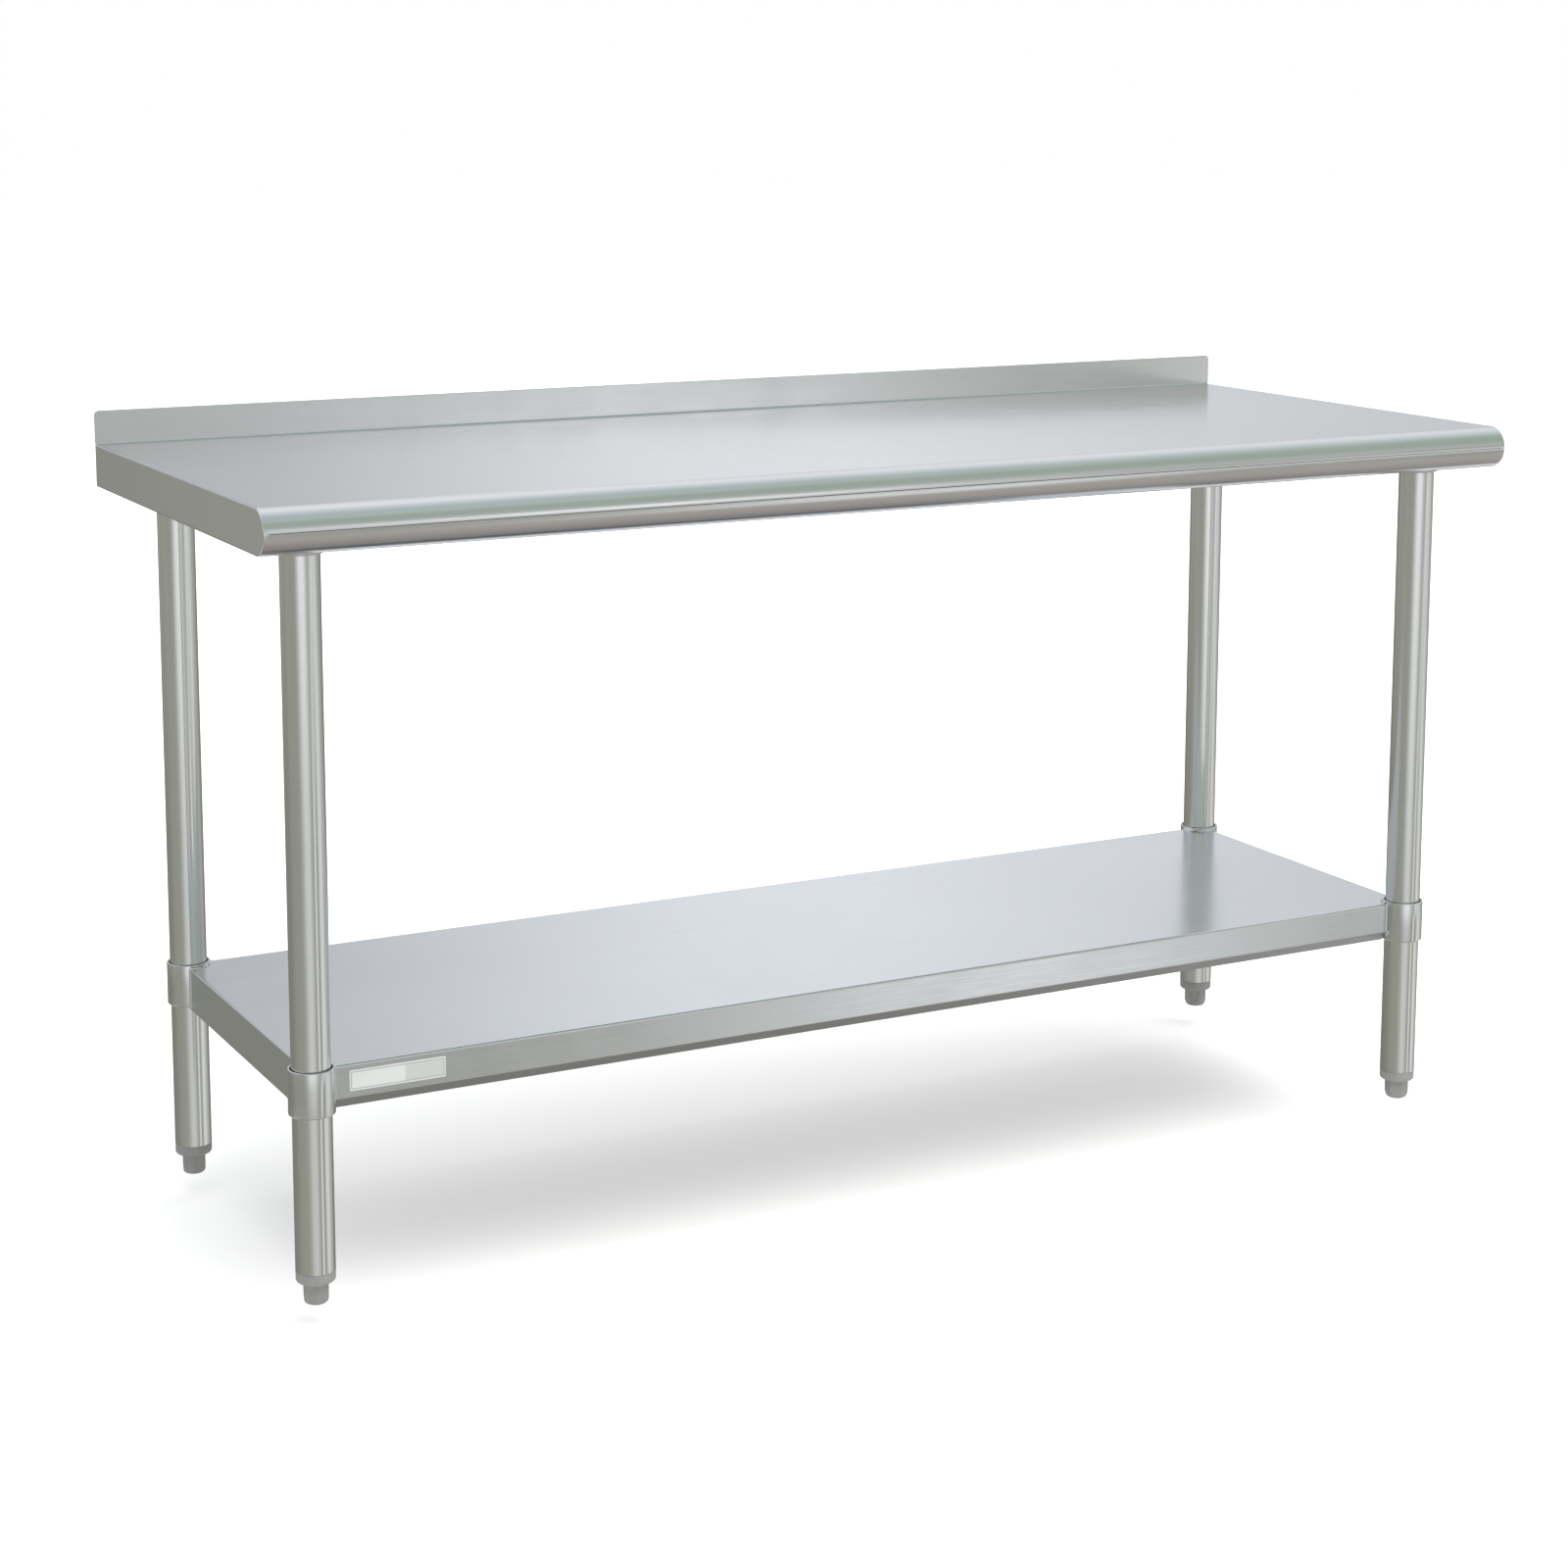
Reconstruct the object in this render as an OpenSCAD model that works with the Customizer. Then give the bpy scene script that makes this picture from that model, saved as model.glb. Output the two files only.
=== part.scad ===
// Stainless steel work table with a low backsplash, a rolled front edge, four tubular legs
// and a height-adjustable undershelf.
//
// Frame: +X along the length, +Y from the rolled front edge to the backsplash, +Z up.
// Origin: on the floor, at the centre of the table's plan. All sizes are in millimetres.

/* [Table top] */
// Length of the table top, along X
length = 1524; // [1200:1:1830]
// Depth of the table top, front of the roll to the back
depth = 600; // [560:1:760]
// Height of the work surface above the floor
work_height = 835; // [800:1:900]
// Height of the backsplash above the work surface
backsplash_height = 38; // [30:1:100]
// Height of the aprons, which is also the diameter of the rolled front edge
apron_height = 48; // [44:1:56]
// Thickness of the top's sheet steel
top_sheet = 1.2; // [0.9:0.1:1.5]
// Width of the return folded inwards along the bottom of the side and rear aprons
apron_return = 12; // [8:1:16]

/* [Legs] */
// Outside diameter of a leg tube
leg_diameter = 41.3; // [38:0.1:43]
// Wall thickness of a leg tube
leg_wall = 1.2; // [1:0.1:2]
// From the table's end to a leg's axis
leg_inset_side = 63.5; // [60:0.5:90]
// From the front of the roll to a front leg's axis
leg_inset_front = 83; // [75:0.5:110]
// From the back of the table to a rear leg's axis
leg_inset_rear = 92.5; // [70:0.5:110]

/* [Undershelf] */
// Height of the shelf's top above the floor at rest
shelf_height = 247; // [200:1:500]
// Thickness of the shelf's sheet steel
shelf_sheet = 1.2; // [0.9:0.1:1.5]
// Height of the upright part of the front and rear flanges
shelf_flange = 35.5; // [30:0.5:45]
// Height and depth of the lip slanted inwards below those flanges
shelf_lip = 12.5; // [8:0.5:14]
// How far the shelf's ends stand outside the leg axes
shelf_overhang = 5; // [2:0.5:8]
// Outside diameter of a corner collar
collar_diameter = 48.4; // [47:0.1:52]
// Wall thickness of a corner collar
collar_wall = 2.2; // [1.6:0.1:2.4]
// Height of a corner collar
collar_height = 48.5; // [44:0.5:60]
// How far a collar stands above the shelf
collar_rise = 3.5; // [2:0.5:6]

/* [Feet] */
// Height of the hexagonal foot below the plug's cap
foot_height = 23.2; // [18:0.1:30]
// Width across the flats of the hexagonal foot
foot_flats = 24.4; // [20:0.1:28]
// Height of the plug's visible cap
cap_height = 12; // [8:0.5:16]
// Diameter of the levelling stud
stud_diameter = 12; // [10:0.5:14]
// Length of the levelling stud
stud_length = 64; // [50:1:80]

/* [Channels and sockets] */
// Depth of the hat channels below the table top
channel_depth = 20; // [16:1:26]
// Thickness of the channels' sheet steel
channel_sheet = 1.5; // [1:0.1:2]
// Width of a hat channel's foot flange
channel_flange = 15; // [13:1:20]
// Width of a cross channel, which carries the leg sockets
cross_channel_width = 84; // [80:1:100]
// Width of the centre channel and of the shelf's channel
centre_channel_width = 110; // [80:1:160]
// Height of a leg socket, flange included
socket_height = 35.3; // [30:0.1:60]
// Side of the socket's square flange
socket_flange = 80; // [76:1:84]
// Distance between the bolts of a socket
socket_bolt_spacing = 60; // [54:1:62]
// Thread diameter of the socket bolts
socket_bolt = 6; // [5:0.5:8]

/* [Label] */
// Length of the blank label on the shelf's front flange
label_length = 105; // [60:1:140]
// Height of the blank label
label_height = 22; // [14:1:26]

/* [Hidden] */
$fn = 64;

// Colours
STAINLESS = [0.73, 0.74, 0.75];
GALVANISED = [0.76, 0.79, 0.82];
ZINC = [0.62, 0.63, 0.65];
CAST = [0.66, 0.67, 0.68];
GREY_PLASTIC = [0.47, 0.47, 0.47];
LABEL = [0.93, 0.93, 0.92];

// Sides and rows of the four legs
LEFT = -1;
RIGHT = 1;
FRONT = -1;
REAR = 1;
SIDES = [LEFT, RIGHT];
ROWS = [FRONT, REAR];

// Shared clearances
SAME_BODY_GAP = 0.3;       // between pieces that are clamped together
RUNNING_GAP = 0.08;        // radial, between the levelling stud and its bores
EPS = 0.01;                // lets a cut run past a face

// Table top
front_y = -depth / 2;
back_y = depth / 2;
roll_r = apron_height / 2;
roll_y = front_y + roll_r;
apron_bottom = work_height - apron_height;
roll_z = apron_bottom + roll_r;
top_underside = work_height - top_sheet;
backsplash_top = work_height + backsplash_height;
backsplash_thickness = 2 * top_sheet;
backsplash_front_y = back_y - backsplash_thickness;
cove_r = 4;                // bend between the work surface and the backsplash
side_bend_r = 2;           // outside bend along the ends of the top
corner_r = 5;              // rounded upper corners of the backsplash
roll_return = 9;           // flat return behind the bottom of the roll

// Legs
leg_r = leg_diameter / 2;
leg_x = length / 2 - leg_inset_side;
front_leg_y = front_y + leg_inset_front;
rear_leg_y = back_y - leg_inset_rear;

// Channels and sockets
channel_bottom = top_underside - channel_depth;
channel_front_y = front_y + 38;
channel_rear_y = back_y - 15;
centre_channel_half = leg_x - cross_channel_width / 2 - channel_flange - 2;
socket_bottom = channel_bottom - socket_height;
socket_plate = 4;
socket_r = 24;
socket_bore_r = leg_r + SAME_BODY_GAP;
rib_thickness = 4;
bolt_head_height = 4;
bolt_head_flats = 10;
nut_height = 5;
nut_flats = 10;
stud_nut_flats = 8;
stud_nut_height = 4;
weld_stud_r = 2.5;
weld_stud_length = 9;
set_screw_r = 4;
set_screw_length = 12;
set_screw_key = 4;
set_screw_z = socket_bottom + 14;
leg_top = channel_bottom - socket_plate - SAME_BODY_GAP;

// Feet
foot_turn = 18.5;            // angle of the feet's flats
cap_bottom = foot_height + SAME_BODY_GAP;
leg_bottom = cap_bottom + cap_height;
stud_r = stud_diameter / 2;
stud_bore_r = stud_r + RUNNING_GAP;
stud_bottom = 6;
plug_top = leg_bottom + 44;
plug_r = leg_r - leg_wall - SAME_BODY_GAP;

// Undershelf
shelf_x = leg_x + shelf_overhang;
shelf_skirt = shelf_flange + shelf_lip;
shelf_underside = shelf_height - shelf_sheet;
collar_r = collar_diameter / 2;
collar_top = shelf_height + collar_rise;
collar_bottom = collar_top - collar_height;
shelf_channel_half = leg_x - 60;
shelf_middle_y = (front_leg_y + rear_leg_y) / 2;
shelf_screw_r = 3;
shelf_screw_length = 14;
shelf_screw_key = 3;
shelf_screw_z = shelf_height - 25;
label_thickness = 0.4;
label_start_x = -leg_x + leg_r + 20;

function leg_y(row) = row == FRONT ? front_leg_y : rear_leg_y;

// ---------------------------------------------------------------- placing and profiles

// Puts children on the axis of one leg, at floor level
module at_leg(side, row) {
    translate([side * leg_x, leg_y(row), 0])
        children();
}

// Sweeps a Y-Z profile along X
module along_x(from, to) {
    translate([from, 0, 0])
        rotate([90, 0, 90])
            linear_extrude(to - from)
                children();
}

// Sweeps an X-Z profile along Y
module along_y(from, to) {
    translate([0, to, 0])
        rotate([90, 0, 0])
            linear_extrude(to - from)
                children();
}

module rounded_rectangle(width, height, r) {
    square([width - 2 * r, height], center = true);
    square([width, height - 2 * r], center = true);
    for (x = SIDES)
        for (y = SIDES)
            translate([x * (width / 2 - r), y * (height / 2 - r)])
                circle(r = r);
}

module hexagon(flats) {
    circle(d = flats / cos(30), $fn = 6);
}

// Hexagonal nut with a plain bore, standing on z = 0
module hex_nut(flats, height, bore_r) {
    difference() {
        linear_extrude(height)
            hexagon(flats);
        translate([0, 0, -EPS])
            cylinder(r = bore_r, h = height + 2 * EPS);
    }
}

// Grub screw along +X with its tip at x = 0 and a hexagonal socket in its outer end
module grub_screw(r, screw_length, key) {
    key_depth = 4;
    rotate([0, 90, 0])
        difference() {
            cylinder(r = r, h = screw_length);
            translate([0, 0, screw_length - key_depth])
                linear_extrude(key_depth + EPS)
                    hexagon(key);
        }
}

// Hat section hanging from z = 0: two foot flanges, two sides and a web
module hat_profile(width) {
    for (side = SIDES) {
        translate([side * (width / 2 - channel_sheet / 2), -channel_depth / 2])
            square([channel_sheet, channel_depth], center = true);
        translate([side * (width / 2 + channel_flange / 2), -channel_sheet / 2])
            square([channel_flange + EPS, channel_sheet], center = true);
    }
    translate([-width / 2, -channel_depth])
        square([width, channel_sheet]);
}

// ---------------------------------------------------------------- table top

// Half-round front edge in the Y-Z plane, hollow or solid
module roll_profile(inner_r) {
    difference() {
        translate([roll_y, roll_z])
            circle(r = roll_r);
        if (inner_r > 0)
            translate([roll_y, roll_z])
                circle(r = inner_r);
        translate([roll_y, apron_bottom - 1])
            square([2 * roll_r, apron_height + 2]);
    }
}

module rolled_edge() {
    along_x(-length / 2, length / 2)
        roll_profile(roll_r - top_sheet);
    along_x(-length / 2, -length / 2 + top_sheet)
        roll_profile(0);
    along_x(length / 2 - top_sheet, length / 2)
        roll_profile(0);
    along_x(-length / 2 + top_sheet / 2, length / 2 - top_sheet / 2)
        translate([roll_y, apron_bottom])
            square([roll_return, top_sheet]);
}

// Outline of the deck and its side aprons from the front, inset by a number of millimetres
// and open below the aprons by a drop
module deck_outline(inset, drop) {
    r = side_bend_r - inset;
    half = length / 2 - inset;
    top = work_height - inset;
    bottom = apron_bottom - drop;
    for (side = SIDES)
        translate([side * (half - r), top - r])
            circle(r = r);
    translate([-half + r, bottom])
        square([2 * (half - r), top - bottom]);
    translate([-half, bottom])
        square([2 * half, top - r - bottom]);
}

// Work surface bent down into the side aprons, which have inward returns along the bottom
module deck() {
    rear = back_y - top_sheet;
    difference() {
        along_y(roll_y, rear)
            deck_outline(0, 0);
        along_y(roll_y - 1, rear + 1)
            deck_outline(top_sheet, 1);
    }
    for (side = SIDES)
        translate([side * (length - apron_return) / 2, (roll_y + rear) / 2, apron_bottom + top_sheet / 2])
            cube([apron_return, rear - roll_y, top_sheet], center = true);
}

// Doubled sheet of the backsplash and the rear apron, with its coved bend and inward return
module backsplash_profile() {
    translate([backsplash_front_y, top_underside])
        square([backsplash_thickness, backsplash_top - top_underside - backsplash_thickness / 2]);
    translate([back_y - backsplash_thickness / 2, backsplash_top - backsplash_thickness / 2])
        circle(r = backsplash_thickness / 2);
    translate([back_y - top_sheet, apron_bottom])
        square([top_sheet, apron_height]);
    translate([back_y - apron_return, apron_bottom])
        square([apron_return, top_sheet]);
    difference() {
        translate([backsplash_front_y - cove_r, work_height - top_sheet / 2])
            square(cove_r + top_sheet / 2);
        translate([backsplash_front_y - cove_r, work_height + cove_r])
            circle(r = cove_r);
        translate([backsplash_front_y - 2 * cove_r, work_height + cove_r])
            square(2 * cove_r);
    }
}

// Outline of the backsplash and rear apron from the front, with rounded upper corners
module backsplash_outline() {
    for (side = SIDES)
        translate([side * (length / 2 - corner_r), backsplash_top - corner_r])
            circle(r = corner_r);
    translate([-length / 2 + corner_r, apron_bottom])
        square([length - 2 * corner_r, backsplash_top - apron_bottom]);
    translate([-length / 2, apron_bottom])
        square([length, backsplash_top - apron_bottom - corner_r]);
}

module backsplash() {
    intersection() {
        along_x(-length / 2, length / 2)
            backsplash_profile();
        along_y(back_y - apron_return - 1, back_y + 1)
            backsplash_outline();
    }
}

module table_top() {
    color(STAINLESS) {
        rolled_edge();
        deck();
        backsplash();
    }
}

// ---------------------------------------------------------------- channels under the top

// Middles of the hat channels' foot flanges, as offsets from the channel's centre line
cross_flange_offset = (cross_channel_width + channel_flange) / 2;
centre_flange_offset = (centre_channel_width + channel_flange) / 2;
stud_end_margin = 30;
cross_stud_span = channel_rear_y - channel_front_y - 2 * stud_end_margin;
cross_stud_y = [for (i = [0:3]) channel_front_y + stud_end_margin + i * cross_stud_span / 3];
centre_stud_span = 2 * (centre_channel_half - 2 * stud_end_margin);
centre_stud_x = [for (i = [0:3]) -centre_stud_span / 2 + i * centre_stud_span / 3];

// Puts children at every weld stud, on the underside of the deck
module at_weld_studs() {
    for (side = SIDES)
        for (edge = SIDES)
            for (y = cross_stud_y)
                translate([side * leg_x + edge * cross_flange_offset, y, top_underside])
                    children();
    for (edge = SIDES)
        for (x = centre_stud_x)
            translate([x, shelf_middle_y + edge * centre_flange_offset, top_underside])
                children();
}

module stud_holes() {
    at_weld_studs()
        translate([0, 0, -channel_sheet - 1])
            cylinder(r = weld_stud_r + SAME_BODY_GAP, h = channel_sheet + 2);
}

module centre_channel() {
    color(GALVANISED)
        difference() {
            along_x(-centre_channel_half, centre_channel_half)
                translate([shelf_middle_y, top_underside])
                    hat_profile(centre_channel_width);
            stud_holes();
        }
}

// Puts children at the four bolts of a socket, at floor level
module at_socket_bolts(side, row) {
    at_leg(side, row)
        for (x = SIDES)
            for (y = SIDES)
                translate([x * socket_bolt_spacing / 2, y * socket_bolt_spacing / 2, 0])
                    children();
}

module cross_channel(side) {
    color(GALVANISED)
        difference() {
            along_y(channel_front_y, channel_rear_y)
                translate([side * leg_x, top_underside])
                    hat_profile(cross_channel_width);
            stud_holes();
            for (row = ROWS)
                at_socket_bolts(side, row)
                    translate([0, 0, channel_bottom - 1])
                        cylinder(r = socket_bolt / 2 + SAME_BODY_GAP, h = channel_sheet + 2);
        }
}

module left_cross_channel() cross_channel(LEFT);
module right_cross_channel() cross_channel(RIGHT);

module weld_studs() {
    color(STAINLESS)
        at_weld_studs()
            translate([0, 0, -weld_stud_length])
                cylinder(r = weld_stud_r, h = weld_stud_length);
}

module stud_nuts() {
    color(ZINC)
        at_weld_studs()
            translate([0, 0, -channel_sheet - stud_nut_height])
                hex_nut(stud_nut_flats, stud_nut_height, weld_stud_r + 0.05);
}

// ---------------------------------------------------------------- leg sockets

// Triangular rib between the cup and the flange, along +X
module socket_rib() {
    flange_z = channel_bottom - socket_plate;
    rotate([90, 0, 0])
        translate([0, 0, -rib_thickness / 2])
            linear_extrude(rib_thickness)
                polygon([
                    [socket_r - 1, socket_bottom + 8],
                    [socket_flange / 2 - 3, flange_z - 3],
                    [socket_flange / 2 - 3, flange_z + 1],
                    [socket_r - 1, flange_z + 1]
                ]);
}

module leg_socket(side, row) {
    boss_length = 34;
    color(CAST)
        at_leg(side, row)
            difference() {
                union() {
                    translate([0, 0, channel_bottom - socket_plate])
                        linear_extrude(socket_plate)
                            rounded_rectangle(socket_flange, socket_flange, 8);
                    translate([0, 0, socket_bottom])
                        cylinder(r = socket_r, h = socket_height - 1);
                    for (a = [0:90:270])
                        rotate(a)
                            socket_rib();
                    // Boss of the set screw, on the side that faces the table's middle
                    translate([0, 0, set_screw_z])
                        rotate([row * 90, 0, 0])
                            cylinder(r = 7.5, h = boss_length);
                }
                translate([0, 0, socket_bottom - 1])
                    cylinder(r = socket_bore_r, h = socket_height - socket_plate + 1);
                translate([0, 0, set_screw_z])
                    rotate([row * 90, 0, 0])
                        cylinder(r = set_screw_r + 0.05, h = boss_length + 1);
                for (x = SIDES)
                    for (y = SIDES)
                        translate([
                            x * socket_bolt_spacing / 2,
                            y * socket_bolt_spacing / 2,
                            channel_bottom - socket_plate - 1
                        ])
                            cylinder(r = socket_bolt / 2 + SAME_BODY_GAP, h = socket_plate + 2);
            }
}

module leg_socket_front_left() leg_socket(LEFT, FRONT);
module leg_socket_front_right() leg_socket(RIGHT, FRONT);
module leg_socket_rear_left() leg_socket(LEFT, REAR);
module leg_socket_rear_right() leg_socket(RIGHT, REAR);

module socket_bolts() {
    head_z = channel_bottom - socket_plate - bolt_head_height;
    shank_length = bolt_head_height + socket_plate + channel_sheet + nut_height + 2;
    color(ZINC)
        for (side = SIDES)
            for (row = ROWS)
                at_socket_bolts(side, row)
                    translate([0, 0, head_z]) {
                        linear_extrude(bolt_head_height)
                            hexagon(bolt_head_flats);
                        cylinder(r = socket_bolt / 2, h = shank_length);
                    }
}

module socket_nuts() {
    color(ZINC)
        for (side = SIDES)
            for (row = ROWS)
                at_socket_bolts(side, row)
                    translate([0, 0, channel_bottom + channel_sheet])
                        hex_nut(nut_flats, nut_height, socket_bolt / 2 + 0.05);
}

module socket_set_screws() {
    color(ZINC)
        for (side = SIDES)
            for (row = ROWS)
                at_leg(side, row)
                    translate([0, 0, set_screw_z])
                        rotate(-row * 90)
                            translate([leg_r, 0, 0])
                                grub_screw(set_screw_r, set_screw_length, set_screw_key);
}

// ---------------------------------------------------------------- legs and feet

module leg(side, row) {
    color(STAINLESS)
        at_leg(side, row)
            translate([0, 0, leg_bottom])
                difference() {
                    cylinder(r = leg_r, h = leg_top - leg_bottom);
                    translate([0, 0, -1])
                        cylinder(r = leg_r - leg_wall, h = leg_top - leg_bottom + 2);
                }
}

module leg_front_left() leg(LEFT, FRONT);
module leg_front_right() leg(RIGHT, FRONT);
module leg_rear_left() leg(LEFT, REAR);
module leg_rear_right() leg(RIGHT, REAR);

// Threaded plug in the leg's lower end: a cap as wide as the leg, a barbed body and a bore
module leg_plug(side, row) {
    edge_r = 3.5;
    barb_height = 4;
    cap_r = leg_r - 0.1;
    color(GREY_PLASTIC)
        at_leg(side, row)
            rotate_extrude()
                difference() {
                    union() {
                        translate([0, cap_bottom + edge_r])
                            square([cap_r, cap_height - edge_r]);
                        translate([0, cap_bottom])
                            square([cap_r - edge_r, cap_height]);
                        translate([cap_r - edge_r, cap_bottom + edge_r])
                            circle(r = edge_r);
                        translate([0, leg_bottom - EPS])
                            square([plug_r - 1, plug_top - leg_bottom]);
                        for (z = [leg_bottom + 4, leg_bottom + 20, plug_top - barb_height - 4])
                            translate([0, z])
                                square([plug_r, barb_height]);
                    }
                    translate([-2 * leg_r, 0])
                        square([2 * leg_r + stud_bore_r, plug_top + 1]);
                }
}

module leg_plug_front_left() leg_plug(LEFT, FRONT);
module leg_plug_front_right() leg_plug(RIGHT, FRONT);
module leg_plug_rear_left() leg_plug(LEFT, REAR);
module leg_plug_rear_right() leg_plug(RIGHT, REAR);

module foot_stud(side, row) {
    tip = 1.5;
    color(ZINC)
        at_leg(side, row)
            rotate_extrude()
                polygon([
                    [0, stud_bottom],
                    [stud_r, stud_bottom],
                    [stud_r, stud_bottom + stud_length - tip],
                    [stud_r - tip, stud_bottom + stud_length],
                    [0, stud_bottom + stud_length]
                ]);
}

module foot_stud_front_left() foot_stud(LEFT, FRONT);
module foot_stud_front_right() foot_stud(RIGHT, FRONT);
module foot_stud_rear_left() foot_stud(LEFT, REAR);
module foot_stud_rear_right() foot_stud(RIGHT, REAR);

// Hexagonal foot, turned down to a round end, with a blind bore for the stud
module hex_foot(side, row) {
    corner = foot_flats / 2 / cos(30);
    end_r = 4.5;
    flat_r = foot_flats / 2 - 3;
    bore_bottom = stud_bottom - SAME_BODY_GAP;
    color(GREY_PLASTIC)
        at_leg(side, row)
            difference() {
                intersection() {
                    linear_extrude(foot_height)
                        rotate(foot_turn)
                            hexagon(foot_flats);
                    rotate_extrude()
                        polygon([
                            [0, 0],
                            [flat_r, 0],
                            [flat_r + end_r * 0.6, end_r * 0.35],
                            [corner + 1, end_r * 1.4],
                            [corner + 1, foot_height],
                            [0, foot_height]
                        ]);
                }
                translate([0, 0, bore_bottom])
                    cylinder(r = stud_bore_r, h = foot_height);
            }
}

module hex_foot_front_left() hex_foot(LEFT, FRONT);
module hex_foot_front_right() hex_foot(RIGHT, FRONT);
module hex_foot_rear_left() hex_foot(LEFT, REAR);
module hex_foot_rear_right() hex_foot(RIGHT, REAR);

// ---------------------------------------------------------------- undershelf

// Half of the shelf's section at one long edge: sheet, upright flange and slanted lip.
// u runs outwards from the shelf's middle line, v is height.
module shelf_half_profile(half_depth) {
    bottom = shelf_height - shelf_skirt;
    polygon([
        [-EPS, shelf_height],
        [half_depth, shelf_height],
        [half_depth, shelf_height - shelf_flange],
        [half_depth - shelf_lip, bottom],
        [half_depth - shelf_lip - shelf_sheet, bottom + shelf_sheet],
        [half_depth - shelf_sheet, shelf_height - shelf_flange + shelf_sheet * 0.4],
        [half_depth - shelf_sheet, shelf_underside],
        [-EPS, shelf_underside]
    ]);
}

module shelf_profile() {
    half_depth = (rear_leg_y - front_leg_y) / 2;
    translate([shelf_middle_y, 0]) {
        shelf_half_profile(half_depth);
        mirror([1, 0])
            shelf_half_profile(half_depth);
    }
}

module shelf_panel() {
    side_depth = rear_leg_y - front_leg_y - 2 * shelf_sheet;
    color(GALVANISED)
        difference() {
            union() {
                along_x(-shelf_x, shelf_x)
                    shelf_profile();
                for (side = SIDES)
                    translate([side * (shelf_x - shelf_sheet / 2), shelf_middle_y, 0])
                        translate([0, 0, shelf_height - shelf_skirt / 2])
                            cube([shelf_sheet, side_depth, shelf_skirt], center = true);
            }
            for (side = SIDES)
                for (row = ROWS)
                    at_leg(side, row)
                        translate([0, 0, shelf_height - shelf_skirt - 1])
                            cylinder(r = collar_r, h = shelf_skirt + 2);
        }
}

module shelf_channel() {
    color(GALVANISED)
        along_x(-shelf_channel_half, shelf_channel_half)
            translate([shelf_middle_y, shelf_underside])
                hat_profile(centre_channel_width);
}

// Direction from a leg towards the middle of the shelf, in the plan
function inward_angle(side, row) = atan2(-row, -side);

// Collar with a rounded lower edge and a welded nut for its set screw
module shelf_collar(side, row) {
    edge_r = 1.2;
    lower_edge_r = 1.8;
    weld_nut_flats = 12;
    weld_nut_height = 6;
    color(GALVANISED)
        at_leg(side, row)
            difference() {
                union() {
                    rotate_extrude()
                        difference() {
                            union() {
                                translate([0, collar_bottom + lower_edge_r])
                                    square([collar_r, collar_height - lower_edge_r]);
                                translate([0, collar_bottom])
                                    square([collar_r - lower_edge_r, collar_height]);
                                translate([collar_r - lower_edge_r, collar_bottom + lower_edge_r])
                                    circle(r = lower_edge_r);
                            }
                            translate([-2 * collar_r, collar_bottom - 1])
                                square([3 * collar_r - collar_wall, collar_height + 2]);
                        }
                    rotate(inward_angle(side, row))
                        translate([collar_r - edge_r, 0, shelf_screw_z])
                            rotate([0, 90, 0])
                                linear_extrude(weld_nut_height + edge_r)
                                    hexagon(weld_nut_flats);
                }
                rotate(inward_angle(side, row))
                    translate([leg_r, 0, shelf_screw_z])
                        rotate([0, 90, 0])
                            cylinder(r = shelf_screw_r + 0.05, h = 20);
            }
}

module shelf_collar_front_left() shelf_collar(LEFT, FRONT);
module shelf_collar_front_right() shelf_collar(RIGHT, FRONT);
module shelf_collar_rear_left() shelf_collar(LEFT, REAR);
module shelf_collar_rear_right() shelf_collar(RIGHT, REAR);

module shelf_set_screws() {
    color(ZINC)
        for (side = SIDES)
            for (row = ROWS)
                at_leg(side, row)
                    rotate(inward_angle(side, row))
                        translate([leg_r + SAME_BODY_GAP, 0, shelf_screw_z])
                            grub_screw(shelf_screw_r, shelf_screw_length, shelf_screw_key);
}

module blank_label() {
    color(LABEL)
        translate([
            label_start_x + label_length / 2,
            front_leg_y,
            shelf_height - shelf_flange / 2
        ])
            rotate([90, 0, 0])
                linear_extrude(label_thickness)
                    rounded_rectangle(label_length, label_height, 1.5);
}

table_top();
centre_channel();
left_cross_channel();
right_cross_channel();
weld_studs();
stud_nuts();
leg_socket_front_left();
leg_socket_front_right();
leg_socket_rear_left();
leg_socket_rear_right();
socket_bolts();
socket_nuts();
socket_set_screws();
leg_front_left();
leg_front_right();
leg_rear_left();
leg_rear_right();
leg_plug_front_left();
leg_plug_front_right();
leg_plug_rear_left();
leg_plug_rear_right();
foot_stud_front_left();
foot_stud_front_right();
foot_stud_rear_left();
foot_stud_rear_right();
hex_foot_front_left();
hex_foot_front_right();
hex_foot_rear_left();
hex_foot_rear_right();
shelf_panel();
shelf_channel();
shelf_collar_front_left();
shelf_collar_front_right();
shelf_collar_rear_left();
shelf_collar_rear_right();
shelf_set_screws();
blank_label();
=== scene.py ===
"""Looks of a stainless work table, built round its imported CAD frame.

Every length is in metres and in the CAD's own frame. Places come from the boxes of the CAD
nodes; the constants below are the sizes that a box doesn't give.
"""

import math

import bmesh
import bpy
from mathutils import Matrix, Vector


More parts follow.
